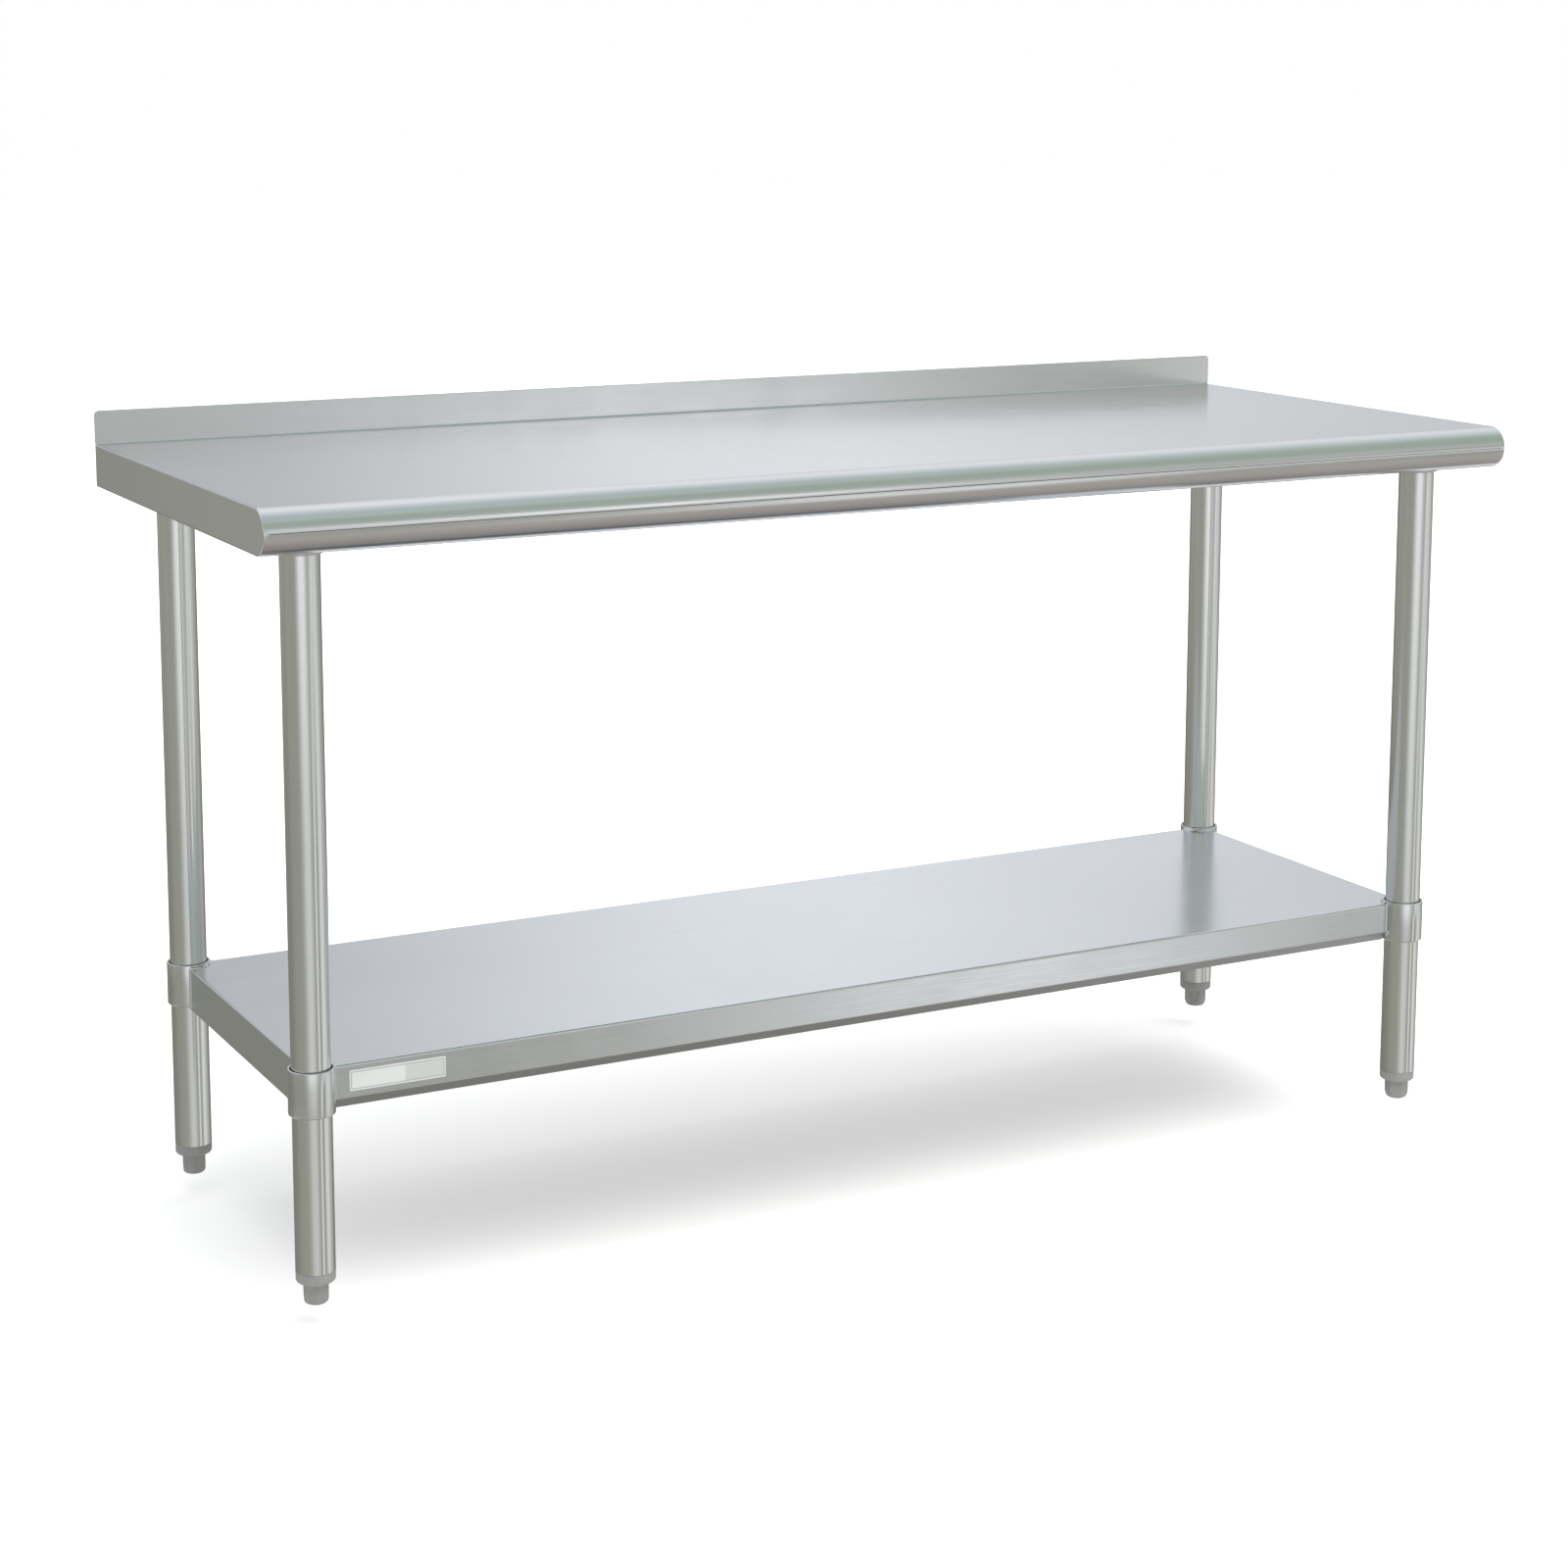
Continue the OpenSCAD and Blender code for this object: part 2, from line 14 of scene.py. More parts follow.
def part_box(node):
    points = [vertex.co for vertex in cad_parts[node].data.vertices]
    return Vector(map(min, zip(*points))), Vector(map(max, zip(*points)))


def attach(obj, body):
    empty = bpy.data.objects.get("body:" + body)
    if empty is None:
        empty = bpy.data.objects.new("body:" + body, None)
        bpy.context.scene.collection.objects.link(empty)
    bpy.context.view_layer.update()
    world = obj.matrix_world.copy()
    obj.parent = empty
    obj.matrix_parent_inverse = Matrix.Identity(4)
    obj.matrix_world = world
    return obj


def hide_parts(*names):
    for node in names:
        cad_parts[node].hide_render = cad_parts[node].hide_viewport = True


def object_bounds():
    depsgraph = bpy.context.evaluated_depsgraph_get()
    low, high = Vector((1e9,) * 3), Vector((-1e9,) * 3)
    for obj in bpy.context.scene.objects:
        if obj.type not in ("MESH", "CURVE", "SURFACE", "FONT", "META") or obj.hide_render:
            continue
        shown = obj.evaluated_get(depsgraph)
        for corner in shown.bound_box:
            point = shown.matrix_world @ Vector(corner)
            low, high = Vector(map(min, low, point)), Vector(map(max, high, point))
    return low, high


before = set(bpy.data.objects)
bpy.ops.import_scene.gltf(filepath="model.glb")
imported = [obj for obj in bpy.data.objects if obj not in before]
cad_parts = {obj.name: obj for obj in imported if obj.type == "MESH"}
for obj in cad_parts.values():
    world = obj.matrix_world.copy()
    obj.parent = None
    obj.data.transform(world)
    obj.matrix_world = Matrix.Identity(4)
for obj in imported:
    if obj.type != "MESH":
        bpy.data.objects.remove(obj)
cad_low, cad_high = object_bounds()

MM = 0.001
SIDES = (-1, 1)
LEGS = {
    "front_left": (-1, -1),
    "front_right": (1, -1),
    "rear_left": (-1, 1),
    "rear_right": (1, 1),
}

# Table top
TOP_SHEET = 1.2 * MM
APRON_HEIGHT = 48 * MM
BACKSPLASH_THICKNESS = 2.4 * MM
COVE_R = 2 * MM
SIDE_BEND_R = 2 * MM
CORNER_R = 5 * MM
ROLL_RETURN = 9 * MM
APRON_RETURN = 12 * MM
END_LEAD = 6 * MM  # width of the strip of deck that belongs to a side apron's bend

# Undershelf
SHELF_SHEET = 1.2 * MM
SHELF_SKIRT = 48 * MM
SHELF_LIP = 12.5 * MM
COLLAR_R = 24.2 * MM
COLLAR_WALL = 2.2 * MM
WELD_R = 1.9 * MM

# Channels and sockets
CHANNEL_SHEET = 1.5 * MM
CHANNEL_FLANGE = 15 * MM
SOCKET_PLATE = 4 * MM
SOCKET_R = 24 * MM
SOCKET_BORE_R = 20.95 * MM
SOCKET_BOSS_R = 7.5 * MM
SOCKET_BOSS_LENGTH = 34 * MM

# Legs and feet
LEG_WALL = 1.2 * MM
CAP_HEIGHT = 12 * MM
STUD_R = 6 * MM
STUD_GAP = 0.08 * MM
FOOT_FLATS = 24.4 * MM
FOOT_TURN = math.radians(18.5)
THREAD_PITCH = 2.5 * MM
FOOT_TRAVEL = 25 * MM  # the floor is this much lower, clear of a foot screwed right out

# Set screws
SHELF_SCREW = (3 * MM, 14 * MM, 3 * MM)  # radius, length and key width
SOCKET_SCREW_KEY = 4 * MM

# Mesh
SUPPORT = 0.6 * MM  # distance from a bend to the loop that keeps the flat beside it flat
SAME_POINT = 0.001 * MM
STRAIGHT = 0.0001  # a path that turns by fewer radians than this is straight
SHARP_ANGLE = 32
ROUND_STEPS = 96
TUBE_STEPS = 128
SMALL_STEPS = 48

BLACK = (0, 0, 0)
WHITE = (1, 1, 1)

top_low, top_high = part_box("table_top")
work_z = top_low.z + APRON_HEIGHT
roll_r = APRON_HEIGHT / 2
roll_y = top_low.y + roll_r
backsplash_y = top_high.y - BACKSPLASH_THICKNESS


# ------ mesh building


class Shape:
    """Closed shells that are gathered into one mesh."""

    def __init__(self):
        self.points = []
        self.faces = []

    def add(self, points, faces, place=None):
        start = len(self.points)
        moved = points if place is None else [place @ Vector(p) for p in points]
        self.points.extend(moved)
        self.faces.extend([start + i for i in face] for face in faces)

    def loft(self, rings, loop=False, caps="flat", place=None):
        """Skins rings of as many points each. loop joins the last ring to the first, and caps
        closes the ends as flat faces or, for a folded sheet, as a strip."""
        count = len(rings[0])
        faces = []
        for i in range(len(rings) if loop else len(rings) - 1):
            a = i * count
            b = (i + 1) % len(rings) * count
            for j in range(count):
                k = (j + 1) % count
                faces.append((a + j, a + k, b + k, b + j))
        if not loop:
            for start in (0, (len(rings) - 1) * count):
                faces.extend(cap_faces(start, count, caps))
        self.add([p for ring in rings for p in ring], faces, place)


def cap_faces(start, count, caps):
    if caps == "flat":
        return [tuple(range(start, start + count))]
    last = start + count - 1
    return [(start + i, start + i + 1, last - i - 1, last - i) for i in range(count // 2 - 1)]


def polar(radius, angle, z):
    return Vector((radius * math.cos(angle), radius * math.sin(angle), z))


def circle(radius, z, steps=SMALL_STEPS):
    return [polar(radius, 2 * math.pi * i / steps, z) for i in range(steps)]


def hexagon(flats, z, reach=1.0, turn=0.0):
    """Ring of a hexagon, with its corners cut back to the radius reach."""
    ring = []
    for i in range(SMALL_STEPS):
        angle = 2 * math.pi * i / SMALL_STEPS
        from_flat = angle % (math.pi / 3) - math.pi / 6
        radius = min(flats / 2 / math.cos(from_flat), reach)
        ring.append(polar(radius, angle + turn, z))
    return ring


def hexagon_corner(flats):
    """Radius to the corners of a hexagon."""
    return flats / 2 / math.cos(math.pi / 6)


def rounded_rectangle(width, height, r, z):
    steps = 8
    ring = []
    for quarter in range(4):
        sx = 1 if quarter in (0, 3) else -1
        sy = 1 if quarter in (0, 1) else -1
        for i in range(steps + 1):
            angle = math.pi / 2 * (quarter + i / steps)
            x = sx * (width / 2 - r) + r * math.cos(angle)
            y = sy * (height / 2 - r) + r * math.sin(angle)
            ring.append(Vector((x, y, z)))
    return ring


def arc(centre, radius, start, end, steps):
    """Points in a profile plane along an arc, with angles in degrees."""
    points = []
    for i in range(steps + 1):
        angle = math.radians(start + (end - start) * i / steps)
        points.append((centre[0] + radius * math.cos(angle), centre[1] + radius * math.sin(angle)))
    return points


def lathe(shape, profile, loop=True, place=None, steps=ROUND_STEPS):
    """Turns a profile of (radius, height) about the local Z axis."""
    shape.loft([circle(r, z, steps) for r, z in profile], loop=loop, place=place)


def at(x, y, z):
    return Matrix.Translation((x, y, z))


def over(low, high, z):
    """Upright axes on the middle line of a box, at the height z."""
    return at((low.x + high.x) / 2, (low.y + high.y) / 2, z)


def leg_axis(leg):
    low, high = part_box(f"leg_{leg}")
    return (low.x + high.x) / 2, (low.y + high.y) / 2


def on_leg(leg):
    """Upright axes on a leg's middle line, at z = 0."""
    return at(*leg_axis(leg), 0)


def bent_sheet(path, thickness):
    """Points across a folded sheet as (face, back) pairs. The path follows the sheet's face,
    with the sheet on its right, and gives each corner's inside radius and number of steps."""
    corners = [Vector(p[:2]) for p in path]
    pairs = []

    def put(face, back):
        if not pairs or (face - pairs[-1][0]).length > SAME_POINT:
            pairs.append((face, back))

    def put_flat(point, direction):
        put(point, point + Vector((direction.y, -direction.x)) * thickness)

    put_flat(corners[0], (corners[1] - corners[0]).normalized())
    for i in range(1, len(corners) - 1):
        before = (corners[i] - corners[i - 1]).normalized()
        after = (corners[i + 1] - corners[i]).normalized()
        turn = math.atan2(before.cross(after), before.dot(after))
        if abs(turn) < STRAIGHT:
            put_flat(corners[i], after)
            continue
        inside_r, steps = path[i][2:4]
        side = 1 if turn > 0 else -1
        face_r = inside_r if side > 0 else inside_r + thickness
        back_r = inside_r + thickness if side > 0 else inside_r
        tangent = face_r * math.tan(abs(turn) / 2)
        left = Vector((-before.y, before.x))
        start = corners[i] - before * tangent
        centre = start + left * side * face_r
        if (start - pairs[-1][0]).length > 2 * SUPPORT:
            put_flat(start - before * SUPPORT, before)
        for step in range(steps + 1):
            angle = turn * step / steps
            spoke = Matrix.Rotation(angle, 2) @ (-left * side)
            put(centre + spoke * face_r, centre + spoke * back_r)
        end = corners[i] + after * tangent
        if (corners[i + 1] - end).length > 2 * SUPPORT:
            put_flat(end + after * SUPPORT, after)
    put_flat(corners[-1], (corners[-1] - corners[-2]).normalized())
    return pairs


def sweep_sheet(shape, pairs, place_point, ends):
    """Sweeps a folded sheet. place_point(u, v, w) puts a section point at w along the sweep,
    and ends(face) gives where the sweep starts and stops for that pair."""
    loop = [(face, *ends(face)) for face, back in pairs]
    loop += [(back, *ends(face)) for face, back in reversed(pairs)]
    rings = [
        [place_point(p.x, p.y, start) for p, start, stop in loop],
        [place_point(p.x, p.y, stop) for p, start, stop in loop],
    ]
    shape.loft(rings, caps="strip")


def along_x(u, v, w):
    return Vector((w, u, v))


def along_y(u, v, w):
    return Vector((u, w, v))


def weld_bead(shape, path, radius):
    """Round bead along the points, whose radius ripples and whose ends are thin."""
    steps = 10
    ripple = 0.07
    ripple_pace = 2.1
    thin_end = 0.6
    last = len(path) - 1
    rings = []
    for i, point in enumerate(path):
        ahead = (path[min(i + 1, last)] - path[max(i - 1, 0)]).normalized()
        across = ahead.orthogonal().normalized()
        up = ahead.cross(across)
        r = radius * (1 + ripple * math.sin(i * ripple_pace))
        if i in (0, last):
            r *= thin_end
        ring = []
        for j in range(steps):
            angle = 2 * math.pi * j / steps
            ring.append(point + (across * math.cos(angle) + up * math.sin(angle)) * r)
        rings.append(ring)
    shape.loft(rings)


def closed_mesh(name, shape):
    """Mesh of the shape, with all its faces turned outwards."""
    mesh = bpy.data.meshes.new(name)
    mesh.from_pydata(shape.points, [], shape.faces)
    work = bmesh.new()
    work.from_mesh(mesh)
    bmesh.ops.recalc_face_normals(work, faces=work.faces)
    work.to_mesh(mesh)
    work.free()
    return mesh


def shade(mesh, sharp):
    """Smooth shading, broken at edges that turn by more degrees than sharp."""
    mesh.shade_smooth()
    mesh.set_sharp_from_angle(angle=math.radians(sharp))


def finish_piece(name, shape, material, body, nodes, sharp=SHARP_ANGLE, end_material=None):
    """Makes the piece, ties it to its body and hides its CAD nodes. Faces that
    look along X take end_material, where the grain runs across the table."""
    looks_along_x = 0.8
    mesh = closed_mesh(name, shape)
    shade(mesh, sharp)
    mesh.materials.append(material)
    if end_material is not None:
        mesh.materials.append(end_material)
        for face in mesh.polygons:
            if abs(face.normal.x) > looks_along_x:
                face.material_index = 1
    piece = bpy.data.objects.new(name, mesh)
    bpy.context.scene.collection.objects.link(piece)
    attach(piece, body)
    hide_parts(*nodes)
    return piece


# ------ materials


def add_node(tree, kind, values=None, **settings):
    """Adds a shader node. values gives its inputs, as numbers or as the sockets that feed them."""
    made = tree.nodes.new(f"ShaderNode{kind}")
    for key, value in settings.items():
        setattr(made, key, value)
    for key, value in (values or {}).items():
        if isinstance(value, bpy.types.NodeSocket):
            tree.links.new(value, made.inputs[key])
        else:
            made.inputs[key].default_value = value
    return made


def calculate(tree, operation, *values):
    made = add_node(tree, "Math", dict(enumerate(values)), operation=operation)
    return made.outputs["Value"]


def new_material(name):
    material = bpy.data.materials.new(name)
    material.use_nodes = True
    tree = material.node_tree
    shader = tree.nodes["Principled BSDF"]
    place = add_node(tree, "TexCoord").outputs["Object"]
    return material, tree, shader, place


def set_surface(tree, shader, colour, roughness, metallic=0.0):
    tree.links.new(colour, shader.inputs["Base Color"])
    tree.links.new(roughness, shader.inputs["Roughness"])
    shader.inputs["Metallic"].default_value = metallic


def noise(tree, place, scale, detail=3.0, roughness=0.55, stretch=(1, 1, 1)):
    """Noise with that many features a metre, drawn out along the axes with a small stretch."""
    mapped = add_node(tree, "Mapping", {"Vector": place, "Scale": stretch})
    made = add_node(tree, "TexNoise", {
        "Vector": mapped.outputs["Vector"],
        "Scale": scale,
        "Detail": detail,
        "Roughness": roughness,
    })
    return made.outputs["Fac"]


def spread(tree, value, low, high, start=0.3, stop=0.7):
    """Brings a value from the range start to stop into the range low to high."""
    made = add_node(tree, "MapRange", {
        "Value": value,
        "From Min": start,
        "From Max": stop,
        "To Min": low,
        "To Max": high,
    })
    return made.outputs["Result"]


def blend_colours(tree, factor, first, second):
    made = add_node(tree, "Mix", {"Factor": factor}, data_type="RGBA")
    for socket, colour in ((made.inputs[6], first), (made.inputs[7], second)):
        if isinstance(colour, bpy.types.NodeSocket):
            tree.links.new(colour, socket)
        else:
            socket.default_value = (*colour, 1)
    return made.outputs[2]


def tint(colour, factor):
    return tuple(min(channel * factor, 1) for channel in colour)


def add_bump(tree, shader, height, distance):
    made = add_node(tree, "Bump", {"Height": height, "Distance": distance, "Strength": 1.0})
    tree.links.new(made.outputs["Normal"], shader.inputs["Normal"])


def brushed_metal(name, colour, roughness, stretch):
    """Sheet or tube with a grain along the axis whose stretch is small, faint clouding, and
    finger smudges that dull it in patches."""
    grain = 900
    grain_depth = 0.0002 * MM
    cloud = 0.02
    material, tree, shader, place = new_material(name)
    fine = noise(tree, place, grain, 4, 0.6, stretch)
    coarse = noise(tree, place, grain / 6, 2, 0.5, stretch)
    clouds = noise(tree, place, 3.5, 3)
    smudges = noise(tree, place, 14, 5, 0.65)
    tone = blend_colours(tree, spread(tree, clouds, 0, 1), tint(colour, 1 - cloud), tint(colour, 1 + cloud))
    streaked = blend_colours(tree, spread(tree, coarse, 0, 0.3), tone, tint(colour, 0.94))
    grained = spread(tree, fine, roughness - 0.03, roughness + 0.03)
    dulled = spread(tree, smudges, -0.01, 0.03, 0.4, 0.75)
    set_surface(tree, shader, streaked, calculate(tree, "ADD", grained, dulled), metallic=1.0)
    add_bump(tree, shader, fine, grain_depth)
    return material


def galvanised(name, colour):
    """Zinc-coated sheet with a small spangle."""
    material, tree, shader, place = new_material(name)
    crystals = add_node(tree, "TexVoronoi", {"Vector": place, "Scale": 160})
    grey = add_node(tree, "RGBToBW", {"Color": crystals.outputs["Color"]})
    tone = blend_colours(tree, spread(tree, grey.outputs["Val"], 0, 1, 0.2, 0.8),
                         tint(colour, 0.88), tint(colour, 1.08))
    dull = noise(tree, place, 30, 4)
    set_surface(tree, shader, tone, spread(tree, dull, 0.34, 0.5), metallic=1.0)
    add_bump(tree, shader, grey.outputs["Val"], 0.02 * MM)
    return material


def cast_metal(name, colour):
    """Die-cast alloy with a pebbled skin and darker hollows."""
    material, tree, shader, place = new_material(name)
    skin = noise(tree, place, 900, 4)
    patches = noise(tree, place, 40, 4)
    tone = blend_colours(tree, spread(tree, patches, 0, 1), tint(colour, 0.82), tint(colour, 1.06))
    set_surface(tree, shader, tone, spread(tree, skin, 0.42, 0.6), metallic=0.9)
    add_bump(tree, shader, skin, 0.06 * MM)
    return material


def zinc_plate(name, colour):
    """Bright zinc on fasteners, with dull water stains and fine tool marks."""
    material, tree, shader, place = new_material(name)
    stains = noise(tree, place, 120, 4)
    marks = noise(tree, place, 1600, 2, 0.5, (1, 1, 0.25))
    tone = blend_colours(tree, spread(tree, stains, 0, 1), tint(colour, 0.85), tint(colour, 1.1))
    set_surface(tree, shader, tone, spread(tree, stains, 0.2, 0.42), metallic=1.0)
    add_bump(tree, shader, marks, 0.01 * MM)
    return material


def moulded_plastic(name, colour):
    """Grey polymer with a spark-eroded skin, a little dust and scuffing."""
    material, tree, shader, place = new_material(name)
    skin = noise(tree, place, 1500, 3)
    scuffs = noise(tree, place, 70, 5, 0.7)
    tone = blend_colours(tree, spread(tree, scuffs, 0, 1), tint(colour, 0.93), tint(colour, 1.1))
    set_surface(tree, shader, tone, spread(tree, scuffs, 0.42, 0.58))
    shader.inputs["Specular IOR Level"].default_value = 0.45
    add_bump(tree, shader, skin, 0.04 * MM)
    return material


def label_film(name, colour, ink, low, high):
    """Blank film sticker: pale, with a printed line inside its edge and a plain grey field."""
    line_inset = 2 * MM
    line_half = 0.5 * MM
    field_inset = 2.2 * MM
    field_start = 0.15  # how far the field begins from the middle, as a share of the half width
    material, tree, shader, place = new_material(name)
    apart = add_node(tree, "SeparateXYZ", {"Vector": place})
    middle = (low + high) / 2
    half = (high - low) / 2
    depths = []
    for axis, centre, reach in (("X", middle.x, half.x), ("Z", middle.z, half.z)):
        off_centre = calculate(tree, "SUBTRACT", apart.outputs[axis], centre)
        depths.append(calculate(tree, "SUBTRACT", reach, calculate(tree, "ABSOLUTE", off_centre)))
    edge = calculate(tree, "MINIMUM", *depths)
    line = calculate(tree, "COMPARE", edge, line_inset, line_half)
    inside = calculate(tree, "GREATER_THAN", edge, field_inset)
    beyond = calculate(tree, "GREATER_THAN", apart.outputs["X"], middle.x + half.x * field_start)
    field = calculate(tree, "MULTIPLY", inside, beyond)
    fibres = noise(tree, place, 500, 3)
    paper = blend_colours(tree, spread(tree, fibres, 0, 1), tint(colour, 0.97), colour)
    fielded = blend_colours(tree, field, paper, tint(colour, 0.8))
    tone = blend_colours(tree, line, fielded, ink)
    set_surface(tree, shader, tone, spread(tree, fibres, 0.28, 0.36))
    add_bump(tree, shader, fibres, 0.01 * MM)
    return material


# ------ table top


def corner_pull(z):
    """How far the backsplash's rounded upper corner stands back from the end at height z."""
    above = z - (top_high.z - CORNER_R)
    return 0.0 if above <= 0 else CORNER_R - math.sqrt(max(CORNER_R**2 - above**2, 0))


def main_sheet():
    """Section from the return under the roll, round the front, over the deck and the
    backsplash's hem, and down to the rear apron's return."""
    hem_r = 0.05 * MM
    wall = BACKSPLASH_THICKNESS / 2 - hem_r
    roll_inside = roll_r - wall
    gap = 0.2 * MM
    foot = work_z + COVE_R + gap
    step_out = 0.05 * MM
    corner_steps = 5
    corner_start = top_high.z - CORNER_R
    corner_rise = CORNER_R - BACKSPLASH_THICKNESS / 2 - gap
    levels = [foot, foot + step_out]
    levels += [corner_start + corner_rise * i / corner_steps for i in range(corner_steps + 1)]
    path = [
        (roll_y + ROLL_RETURN, top_low.z),
        (top_low.y, top_low.z, roll_inside, 18),
        (top_low.y, work_z, roll_inside, 18),
        (backsplash_y, work_z, COVE_R, 8),
        *[(backsplash_y, z) for z in levels],
        (backsplash_y, top_high.z, hem_r, 6),
        (top_high.y, top_high.z, hem_r, 6),
        *[(top_high.y, z) for z in reversed(levels)],
        (top_high.y, top_low.z, 0.8 * MM, 5),
        (top_high.y - APRON_RETURN, top_low.z),
    ]

    def ends(face):
        """The sheet stops short of the side aprons, above which the backsplash runs to the ends."""
        half = top_high.x - END_LEAD
        if face.y > foot + step_out / 2:
            half = top_high.x - corner_pull(face.y)
        on_return = face.y < top_low.z + SUPPORT and roll_y + SUPPORT < face.x < top_high.y - 2 * MM
        if on_return:
            half = top_high.x - APRON_RETURN
        return -half, half

    shape = Shape()
    sweep_sheet(shape, bent_sheet(path, wall), along_x, ends)
    return shape


def end_outline(inward):
    """Outline of a side apron from the end, moved inwards. Each point is (y, z, lead), with lead
    the width of the deck strip or flange that is folded away there."""
    cove = min(inward, BACKSPLASH_THICKNESS / 2 - 0.1 * MM)
    lid_top = work_z + COVE_R + 0.22 * MM
    bottom = top_low.z + inward
    outline = [
        (top_high.y - inward, bottom, END_LEAD),
        (top_high.y - APRON_RETURN - SUPPORT, bottom, APRON_RETURN),
        (roll_y + ROLL_RETURN + SUPPORT, bottom, APRON_RETURN),
    ]
    roll = arc((roll_y, top_low.z + roll_r), roll_r - inward, -90, -270, 36)
    coved = []
    for across, up in arc((0, 0), 1, -90, 0, 8)[:-1]:
        y = backsplash_y - COVE_R + across * (COVE_R + cove)
        z = work_z + COVE_R + up * (COVE_R + inward)
        coved.append((y, z))
    outline += [(y, z, END_LEAD) for y, z in roll + coved]
    outline.append((backsplash_y + cove, lid_top, END_LEAD))
    outline.append((top_high.y - cove, lid_top, END_LEAD))
    return outline


def side_apron(shape, side):
    """End plate that closes the roll and hangs from the deck by a small bend, with the flange
    folded inwards along its bottom."""
    bend_centre = (SIDE_BEND_R, SIDE_BEND_R)
    sections = [(TOP_SHEET, SIDE_BEND_R + SUPPORT)]
    sections += arc(bend_centre, SIDE_BEND_R - TOP_SHEET, 180, 270, 4)
    sections += [(None, TOP_SHEET), (None, 0)]
    sections += arc(bend_centre, SIDE_BEND_R, 270, 180, 6)
    sections.append((0, SIDE_BEND_R + SUPPORT))
    rings = []
    for depth, inward in sections:
        ring = []
        for y, z, lead in end_outline(inward):
            inset = lead if depth is None else depth
            ring.append(Vector((side * (top_high.x - inset), y, z)))
        rings.append(ring)
    shape.loft(rings)


def make_table_top(material, end_material):
    shape = main_sheet()
    for side in SIDES:
        side_apron(shape, side)
    finish_piece("table_top_sheet", shape, material, "frame", ["table_top"],
                 end_material=end_material)


# ------ channels, studs and sockets


def hat_channel(name, along, material, body):
    """Hat section with rounded bends, hung by its foot flanges under a sheet."""
    low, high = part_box(name)
    across = "y" if along == "x" else "x"
    middle = (getattr(low, across) + getattr(high, across)) / 2
    outer = (getattr(high, across) - getattr(low, across)) / 2
    web = outer - CHANNEL_FLANGE
    flange_z = high.z - CHANNEL_SHEET
    bend = (1.2 * MM, 5)
    path = [
        (middle + outer, flange_z),
        (middle + web, flange_z, *bend),
        (middle + web, low.z, *bend),
        (middle - web, low.z, *bend),
        (middle - web, flange_z, *bend),
        (middle - outer, flange_z),
    ]
    shape = Shape()
    start = getattr(low, along)
    stop = getattr(high, along)
    place = along_x if along == "x" else along_y
    sweep_sheet(shape, bent_sheet(path, CHANNEL_SHEET), place, lambda face: (start, stop))
    finish_piece(f"{name}_sheet", shape, material, body, [name])


def nut(shape, flats, height, bore_r, place, turn=0.0):
    """Hexagonal nut with chamfered corners and a countersunk bore, standing on z = 0."""
    corner = hexagon_corner(flats)
    chamfer = (corner - flats / 2) * 0.55
    face_r = flats / 2 * 1.01
    countersink = bore_r * 0.12
    rings = [
        hexagon(flats, 0, face_r, turn),
        hexagon(flats, chamfer, corner, turn),
        hexagon(flats, height - chamfer, corner, turn),
        hexagon(flats, height, face_r, turn),
        circle(bore_r + countersink, height),
        circle(bore_r, height - countersink),
        circle(bore_r, countersink),
        circle(bore_r + countersink, 0),
    ]
    shape.loft(rings, loop=True, place=place)


def grooved_rod(shape, r, start, stop, pitch, place):
    """Threaded rod drawn as rings, for small fasteners."""
    root_r = r * 0.88
    profile = [(r * 0.78, start), (r * 0.9, start + pitch * 0.3)]
    for i in range(int((stop - start) / pitch) - 1):
        z = start + pitch * (i + 0.5)
        profile += [(root_r, z), (r, z + pitch * 0.45), (r, z + pitch * 0.55)]
    profile += [(root_r, stop - pitch * 0.4), (r * 0.75, stop)]
    lathe(shape, profile, loop=False, place=place, steps=SMALL_STEPS // 2)


def node_islands(node):
    """Boxes of the separate solids in a CAD node that groups identical fasteners."""
    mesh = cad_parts[node].data
    links = list(range(len(mesh.vertices)))

    def root(i):
        while links[i] != i:
            links[i] = links[links[i]]
            i = links[i]
        return i

    seen = {}
    for vertex in mesh.vertices:
        key = tuple(round(c, 6) for c in vertex.co)
        links[root(vertex.index)] = root(seen.setdefault(key, vertex.index))
    for edge in mesh.edges:
        links[root(edge.vertices[0])] = root(edge.vertices[1])
    groups = {}
    for vertex in mesh.vertices:
        groups.setdefault(root(vertex.index), []).append(vertex.co)
    boxes = []
    for points in groups.values():
        low = Vector([min(p[k] for p in points) for k in range(3)])
        high = Vector([max(p[k] for p in points) for k in range(3)])
        boxes.append((low, high))
    return sorted(boxes, key=lambda box: tuple(round(c, 5) for c in box[0]))


def make_weld_studs(material):
    pitch = 0.8 * MM
    shape = Shape()
    for low, high in node_islands("weld_studs"):
        grooved_rod(shape, (high.x - low.x) / 2, low.z, high.z, pitch, over(low, high, 0))
    finish_piece("weld_studs_threaded", shape, material, "frame", ["weld_studs"])


def make_nuts(node, bore_r, material):
    turn_each = 0.37  # so that no two nuts stop at the same angle
    shape = Shape()
    for i, (low, high) in enumerate(node_islands(node)):
        flats = min(high.x - low.x, high.y - low.y)
        nut(shape, flats, high.z - low.z, bore_r, over(low, high, low.z), turn=i * turn_each)
    finish_piece(f"{node}_hex", shape, material, "frame", [node])


